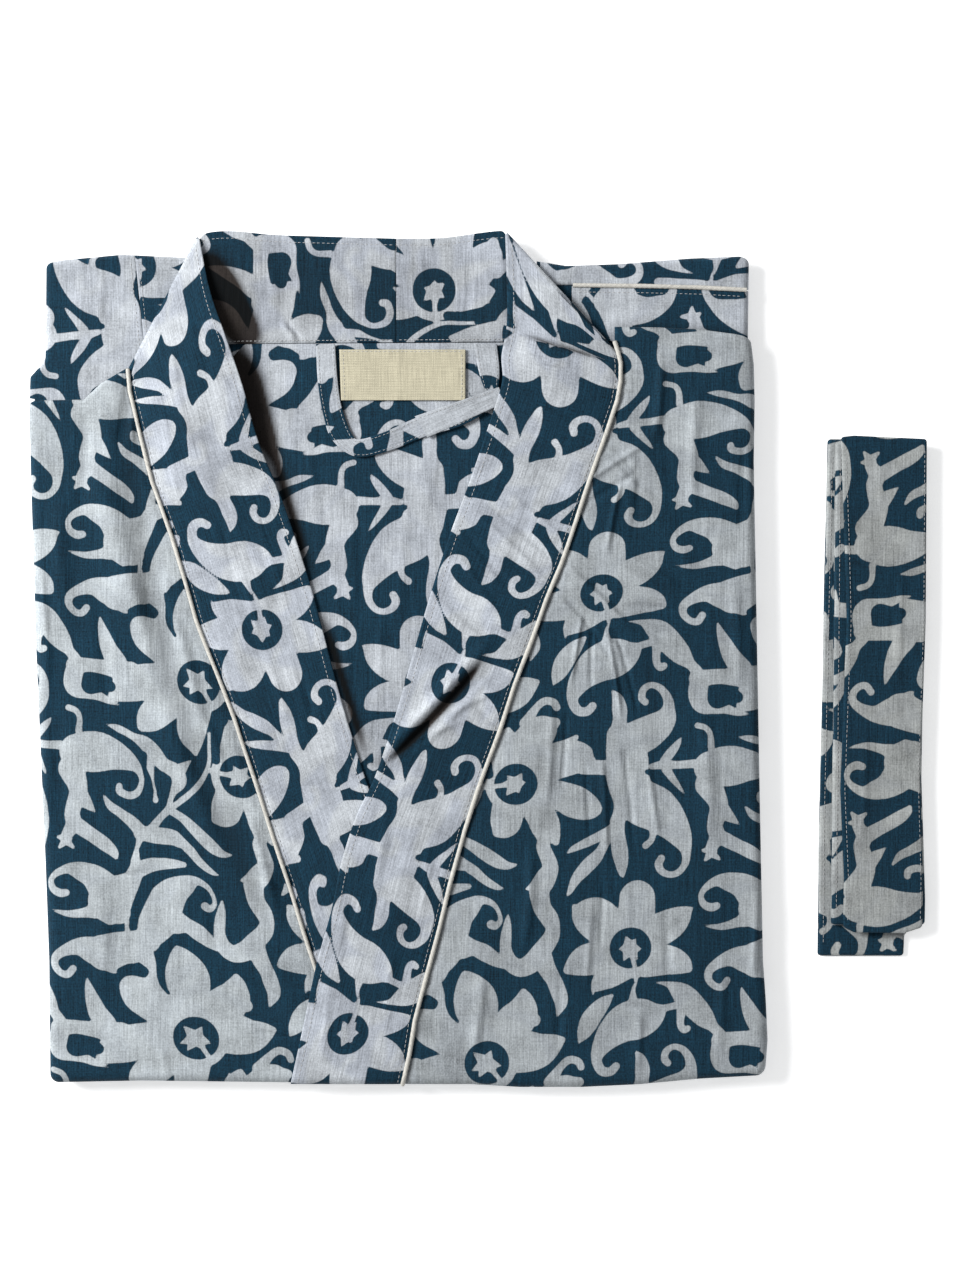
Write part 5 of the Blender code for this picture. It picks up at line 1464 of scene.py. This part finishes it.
def makeLoop():
    # Two printed stretches, then the pale one that crosses in front
    parts = []
    pads = (0, 0), (hemRows, hemRows)
    for k, table in enumerate((loopLeg, loopFront)):
        grid = loopGrid(table, loop["step"], loop["width"])
        cloth = clothAxes(grid)
        chart = layPrint(grid, cloth, loop["flower"], loop["at"], loop["turn"] + 90 * k)
        stitch(grid[:, 1], 2.3, 0.14)
        stitch(grid[:, -2], 2.3, 0.14)
        parts.append({"grid": hemmed(grid, *loopHem), "cloth": edgePadded(cloth, *pads),
                      "chart": edgePadded(chart, *pads)})
    low, high = [np.array([spot(*row[:2]) + (0,), spot(*row[2:]) + (0,)]) for row in loop["plain"]]
    s, w = evenly(50, 1.0)[:, None, None], evenly(loop["width"], 1.0)[None, :, None]
    grid = (low[0] * (1 - s) + low[1] * s) * (1 - w) + (high[0] * (1 - s) + high[1] * s) * w
    wave, length = loop["plainWave"]
    grid[..., 2] = read(loop["plainHeight"], grid[..., 0]) + wave * np.sin(grid[..., 0] / length)
    cloth = edgePadded(clothAxes(grid), *pads)
    pale = np.zeros_like(cloth) + loop["paleSpot"]
    parts.append({"grid": hemmed(grid, *loopHem), "cloth": cloth, "chart": pale,
                  "ghost": pale + cloth / 40})
    stitch(grid[:, 1], 2.3, 0.14)
    made = clothMesh("robe_hanging_loop", parts, innerCloth)
    finishPiece(made, ["hanging_loop"])


makeLoop()

# Woven label, left bare, pressed once down its middle and sewn down round its edges
# Waves are their height and two lengths in mm. Ridge, groove and side lift are each a height,
# a place and a half width in mm: a ridge and a groove make the soft press line
label = {"size": (67.5, 27.5), "centre": (-41.7, 153.9), "step": 0.55, "lift": 2.8,
         "wave": (0.18, 9.0, 7), "ridge": (0.20, -1.5, 2.6), "groove": (-0.10, -0.2, 1.1),
         "sideLift": (0.25, 12), "lean": 1}


def makeLabel():
    # Level, with a wave of one sine across times one along, and a soft press line and a lifted
    # right side, each as height times exp(-(distance / half width) squared)
    (wide, high), (cx, cy), step = label["size"], label["centre"], label["step"]
    s, t = evenly(wide, step)[None, :], evenly(high, step)[:, None]
    left = cx - wide / 2 + label["lean"] * (1 - t)
    x = left + s * (cx + wide / 2 - left)
    y = cy - high / 2 + t * high + 0 * s
    wave, waveX, waveY = label["wave"]
    z = bundleHeight(y) + label["lift"] + wave * np.sin(x / waveX) * np.sin(y / waveY + 1)
    for height, at, half in (label["ridge"], label["groove"]):
        z += height * np.exp(-(((x - cx - at) / half) ** 2))
    height, half = label["sideLift"]
    z += height * (1 - t) * np.exp(-(((x - cx - wide / 2) / half) ** 2))
    grid = np.stack([x, y, z], axis=2)
    cloth = edgePadded(np.stack([x, y], axis=2), (0, 0), (hemRows, hemRows))
    made = clothMesh("robe_neck_label", [{"grid": hemmed(grid, *labelHem), "cloth": cloth,
                                          "chart": cloth * 0}], labelCloth)
    finishPiece(made, ["label"])
    for row, pitch, size in ((grid[:, -4], 2.2, 0.17), (grid[:, 3], 2.2, 0.14),
                             (grid[-3, :], 2.4, 0.14)):
        stitch(row, pitch, size, 0.02)


makeLabel()


# Sways of a layer's edge: share, wave length in mm over tau, and what each layer is ahead by
rimSway = ((1.0, 61.0, 2.3), (0.6, 23.0, 5.1))


# Folded stacks: a top, then rounded layer edges that stand in and out unevenly, and a level
# underside. A layer's edge is set in by its base, a sway of two sines along the rim, and
# round times (1 - sqrt(1 - q squared)) at q from -1 to 1 through its thickness
def makeStack(name, node, looks, sides, ends, roll, size, step, height, floor, layers, at):
    top = panelGrid(sides, ends, (roll,) * 4, (evenly(size[0], step), evenly(size[1], step)),
                    height)
    rows, cols = top.shape[:2]
    rim = np.concatenate([np.arange(cols), np.arange(1, rows) * cols + cols - 1,
                          (rows - 1) * cols + np.arange(cols - 2, -1, -1),
                          np.arange(rows - 2, 0, -1) * cols])
    edge = top.reshape(-1, 3)[rim]
    run = np.roll(edge, -1, axis=0) - np.roll(edge, 1, axis=0)
    out = np.stack([run[:, 1], -run[:, 0]], axis=1)
    out /= np.maximum(np.linalg.norm(out, axis=1, keepdims=True), 1e-9)
    along = np.concatenate([[0], np.cumsum(np.linalg.norm(np.diff(edge, axis=0), axis=1))])
    part, inset = [], []
    thick = 1.0 / layers["count"]
    for k in range(layers["count"]):
        sway = layers["sway"] * sum(share * np.sin(along / wave + ahead * k)
                                    for share, wave, ahead in rimSway)
        base = layers["base"][k % len(layers["base"])] + sway
        for f in np.linspace(0.08, 0.92, 5):
            part.append(1 - thick * (k + f))
            inset.append(base + layers["round"] * (1 - math.sqrt(1 - (2 * f - 1) ** 2)))
    part, inset = np.array(part), np.array(inset)
    side = np.empty((len(part) + 1, len(edge), 3))
    side[:-1, :, :2] = edge[None, :, :2] - out[None] * inset[..., None]
    side[:-1, :, 2] = floor + (edge[None, :, 2] - floor) * part[:, None]
    side[-1] = side[-2]
    side[-1, :, 2] = floor
    side = np.concatenate([edge[None], side])
    bottom = top.copy()
    bottom.reshape(-1, 3)[rim] = side[-1]
    bottom[..., 2] = floor
    cloth = top[..., :2].copy()
    chart = layPrint(top, cloth, 1, at)
    down = arcLengths(side, 0)
    rimCloth = np.stack(np.broadcast_arrays(along[None, :], down[:, None]), axis=2).astype(float)
    rimChart = rimCloth / printRepeat["unit"]
    rimChart[..., 1] += 5.0 * np.floor(np.arange(len(down)) / 5.0)[:, None]
    rimChart[0] = chart.reshape(-1, 2)[rim]
    middle = np.stack([edge[:, 0].mean() + 0 * side[..., 0], edge[:, 1].mean() + 0 * side[..., 1],
                       side[..., 2]], axis=2)
    parts = [{"grid": top, "cloth": cloth, "chart": chart},
             {"grid": side, "cloth": rimCloth, "chart": rimChart, "wrap": True,
              "facing": middle},
             {"grid": bottom, "cloth": cloth, "chart": chart + 4.0,
              "facing": np.array([0, 0, -1.0])}]
    made = clothMesh(name, parts, looks)
    finishPiece(made, [node])


bundleLeft = [(-228, -230), (-163, -231), (-109, -233), (5, -238), (86, -240.4), (138, -241.8),
              (150, -239.5), (156, -234), (160, -232), (166, -231.4), (214, -231)]
bundleRight = [(-224, 152), (-206, 153.8), (-184, 152.8), (-163, 151.4), (-87, 149.8),
               (107, 146.4), (140, 146.8), (160, 145.4), (170, 143.4), (216, 143.2)]
bundleTop = [(-234, 212.5), (-226, 214), (-194, 216.5), (-150, 215), (31, 213.5), (47, 211),
             (76, 212), (114, 214.5), (141, 216), (146, 215)]
robeLayers = {"count": 9, "sway": 0.55, "round": 0.7,
              "base": (-0.5, 0.5, -0.8, 0.2, 0.9, -0.6, 0.6, -0.3, 0.8)}
makeStack("robe_folded_layers", "folded_layers", innerCloth, (bundleLeft, bundleRight),
          (shifted(bottomEnd, 2.2), bundleTop), (5.0, 3.6), (380, 438), 3.5,
          lambda x, y: bundleHeight(y), 0.0, robeLayers, (300, 600))

# Belt: two folded stacks of turns, and the top turn
beltLayers = {"count": 4, "sway": 0.25, "round": 0.35, "base": (-0.3, 0.5, -0.1, 0.4)}
lowSides = ([(-161, 184.5), (-103, 184.8), (21, 187.5), (119, 189.8)],
            [(-161, 230.5), (-150, 231), (-143, 237.5), (119, 238)])
midSides = ([(-150, 191), (53, 193), (120, 193.5)],
            [(-150, 241.5), (-130, 242), (-65, 239.8), (21, 241.6), (120, 241.8)])
topSides = ([(-148, 197), (-119, 197.6), (-71, 195.6), (-22, 197.4), (21, 199), (53, 198.2),
             (121, 196)],
            [(-148, 240), (-119, 240.5), (-65, 239), (21, 242), (121, 242.6)])
beltHeights = (3.0, 7.3, 8.8)
beltCreases = [(846, 470, 850, 700, 1.6, 0.3, 1), (880, 440, 884, 520, 2.0, 0.25, 0),
               (905, 560, 900, 700, 2.4, 0.3, -1), (866, 720, 862, 860, 2.2, 0.3, 1),
               (846, 664, 922, 660, 1.0, -0.25, 0), (846, 806, 922, 812, 1.0, -0.2, 0)]
makeStack("belt_lower_turns", "belt_lower", beltShadedCloth, lowSides,
          (flatEdge(-161), flatEdge(119.5)), (1.6, 1.4), (48, 280), 1.4,
          lambda x, y: 0 * x + beltHeights[0], 0.0, beltLayers, (700, 500))
makeStack("belt_middle_turns", "belt_layers", beltShadedCloth, midSides,
          (flatEdge(-144), flatEdge(118)), (2.0, 1.8), (48, 262), 1.4,
          lambda x, y: 0 * x + beltHeights[1], beltHeights[0] + 0.3, beltLayers, (760, 620))

# Top turn: gain and deepest for its creases, and the print's flower, photo pixel and turn
beltTop = {"step": 0.9, "roll": (1.6, 0.9), "gain": 2.2, "deepest": 0.5, "flower": 0,
           "at": (776, 729), "turn": 178.0,
           "foot": [(184, -145), (197, -145), (203, -148), (230, -148.5), (241, -145)],
           "head": [(196, 120.6), (203, 121.4), (243, 119.5)]}
beltShade = [(876, 500, 868, 640, 5.0, 0.14, 1), (868, 700, 880, 900, 5.0, 0.14, -1),
             (852, 560, 866, 566, 2.0, 0.30, 0), (896, 640, 904, 780, 3.0, 0.12, 1),
             (856, 440, 862, 560, 3.0, 0.12, 0)]


def makeBeltTop():
    piece = beltTop
    grid = panelGrid(topSides, (piece["foot"], piece["head"]), (piece["roll"],) * 4,
                     (evenly(44, piece["step"]), evenly(268, piece["step"])),
                     lambda x, y: beltHeights[2] + eased(
                         piece["gain"] * crease(x, y, beltCreases), piece["deepest"]))
    cloth = grid[..., :2].copy()
    chart = layPrint(grid, cloth, piece["flower"], piece["at"], piece["turn"], True)
    made = clothMesh("belt_top_turn", [{"grid": grid, "cloth": cloth, "chart": chart,
                                        "ghost": lookUnder(chart),
                                        "dark": foldShade(grid, beltShade)}], beltShadedCloth)
    finishPiece(made, ["belt_top"])
    inner = grid[8:-8]
    stitch(inner[:, 7], 2.6, 0.16)
    stitch(inner[:, -6], 2.6, 0.14)
    for side, level, top, foot in ((midSides[0], 1, 116, -142), (lowSides[0], 0, 112, -158)):
        y = np.arange(top, foot, -1.0)
        stitch(np.stack([read(side, y) + 2.4, y, 0 * y + beltHeights[level]], axis=1), 2.6, 0.14,
               0.1)


makeBeltTop()


# Machine stitches: short threads that dip into the cloth at both ends. Half is half a length
# as a share of the pitch, uneven how far the spacing strays in mm, by a sine, and shape the
# share of half length, the share of thickness and the height in mm at five places
sewing = {"sides": 5, "half": 0.36, "uneven": 0.15, "wander": 1.7,
          "shape": [(-1.0, 0.35, -0.16), (-0.62, 0.95, 0.06), (0.0, 1.0, 0.11),
                    (0.62, 0.95, 0.06), (1.0, 0.35, -0.16)]}


def makeStitches():
    # Every row that stitch() marked, as short tubes a pitch apart
    points, faces, start = [], [], 0
    sides, shape = sewing["sides"], np.array(sewing["shape"])
    angle = (np.arange(sides) * math.tau / sides)[None, None, :, None]
    for path, pitch, radius in stitchPaths:
        steps = np.linalg.norm(np.diff(path, axis=0), axis=1)
        along = np.concatenate([[0], np.cumsum(steps)])
        at = np.arange(pitch, along[-1] - pitch, pitch)
        at = at + sewing["uneven"] * np.sin(at * sewing["wander"])
        spots = at[:, None] + shape[None, :, 0] * pitch * sewing["half"]
        where = np.stack([np.interp(spots, along, path[:, k]) for k in range(3)], axis=2)
        across, up = besides(where[:, -1] - where[:, 0])
        where = where + up[:, None] * shape[None, :, 2:3]
        ring = across[:, None, None] * np.cos(angle) + up[:, None, None] * np.sin(angle)
        tube = where[:, :, None] + ring * radius * shape[None, :, 1][..., None, None]
        count, rows = tube.shape[:2]
        face = gridFaces(rows, sides, 0, True)
        if not facesAway(tube[0], where[0][:, None]):
            face = face[:, ::-1]
        first = start + np.arange(count)[:, None, None] * rows * sides
        points.append(tube.reshape(-1, 3))
        faces.append((face[None] + first).reshape(-1, 4))
        start += count * rows * sides
    made = makeMesh("robe_stitches", np.vstack(points), np.vstack(faces), paleThread)
    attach(made, "root")
    print("made", made.name, len(made.data.polygons), "faces")


makeStitches()


# Plain pale floor, and soft daylight from a window on the left that falls off to the right
setting = {"sky": 0.37, "skyColour": (0.97, 0.985, 1.0, 1), "floorColour": (0.94, 0.94, 0.94, 1),
           "floorGlow": 0.50, "floorHalf": 4.0, "floorLevel": -0.0003, "window": 66.0,
           "windowSize": 0.8, "windowAt": (-1.6, 0.67, 1.25)}


def makeSetting():
    mesh = bpy.data.meshes.new("floor")
    r, level = setting["floorHalf"], setting["floorLevel"]
    mesh.from_pydata([(-r, -r, level), (r, -r, level), (r, r, level), (-r, r, level)], [],
                     [(0, 1, 2, 3)])
    look, _, shader = newMaterial("palePaper", 0.9)
    shader.inputs["Base Color"].default_value = setting["floorColour"]
    shader.inputs["Emission Color"].default_value = (1.0, 1.0, 1.0, 1)
    shader.inputs["Emission Strength"].default_value = setting["floorGlow"]
    mesh.materials.append(look)
    floor = putIn("floor", mesh)
    world = bpy.data.worlds.new("studio")
    bpy.context.scene.world = world
    world.use_nodes = True
    sky = world.node_tree.nodes["Background"]
    sky.inputs[0].default_value = setting["skyColour"]
    sky.inputs[1].default_value = setting["sky"]
    data = bpy.data.lights.new("window", "AREA")
    data.energy = setting["window"]
    data.size = setting["windowSize"]
    lamp = putIn("window", data)
    x, y, z = setting["windowAt"]
    lamp.location = (x, y, z)
    lamp.rotation_euler = (math.atan2(math.hypot(x, y), z), 0, math.atan2(x, -y))
    bpy.context.scene.view_settings.view_transform = "Standard"
    print("floor and light ready")


makeSetting()
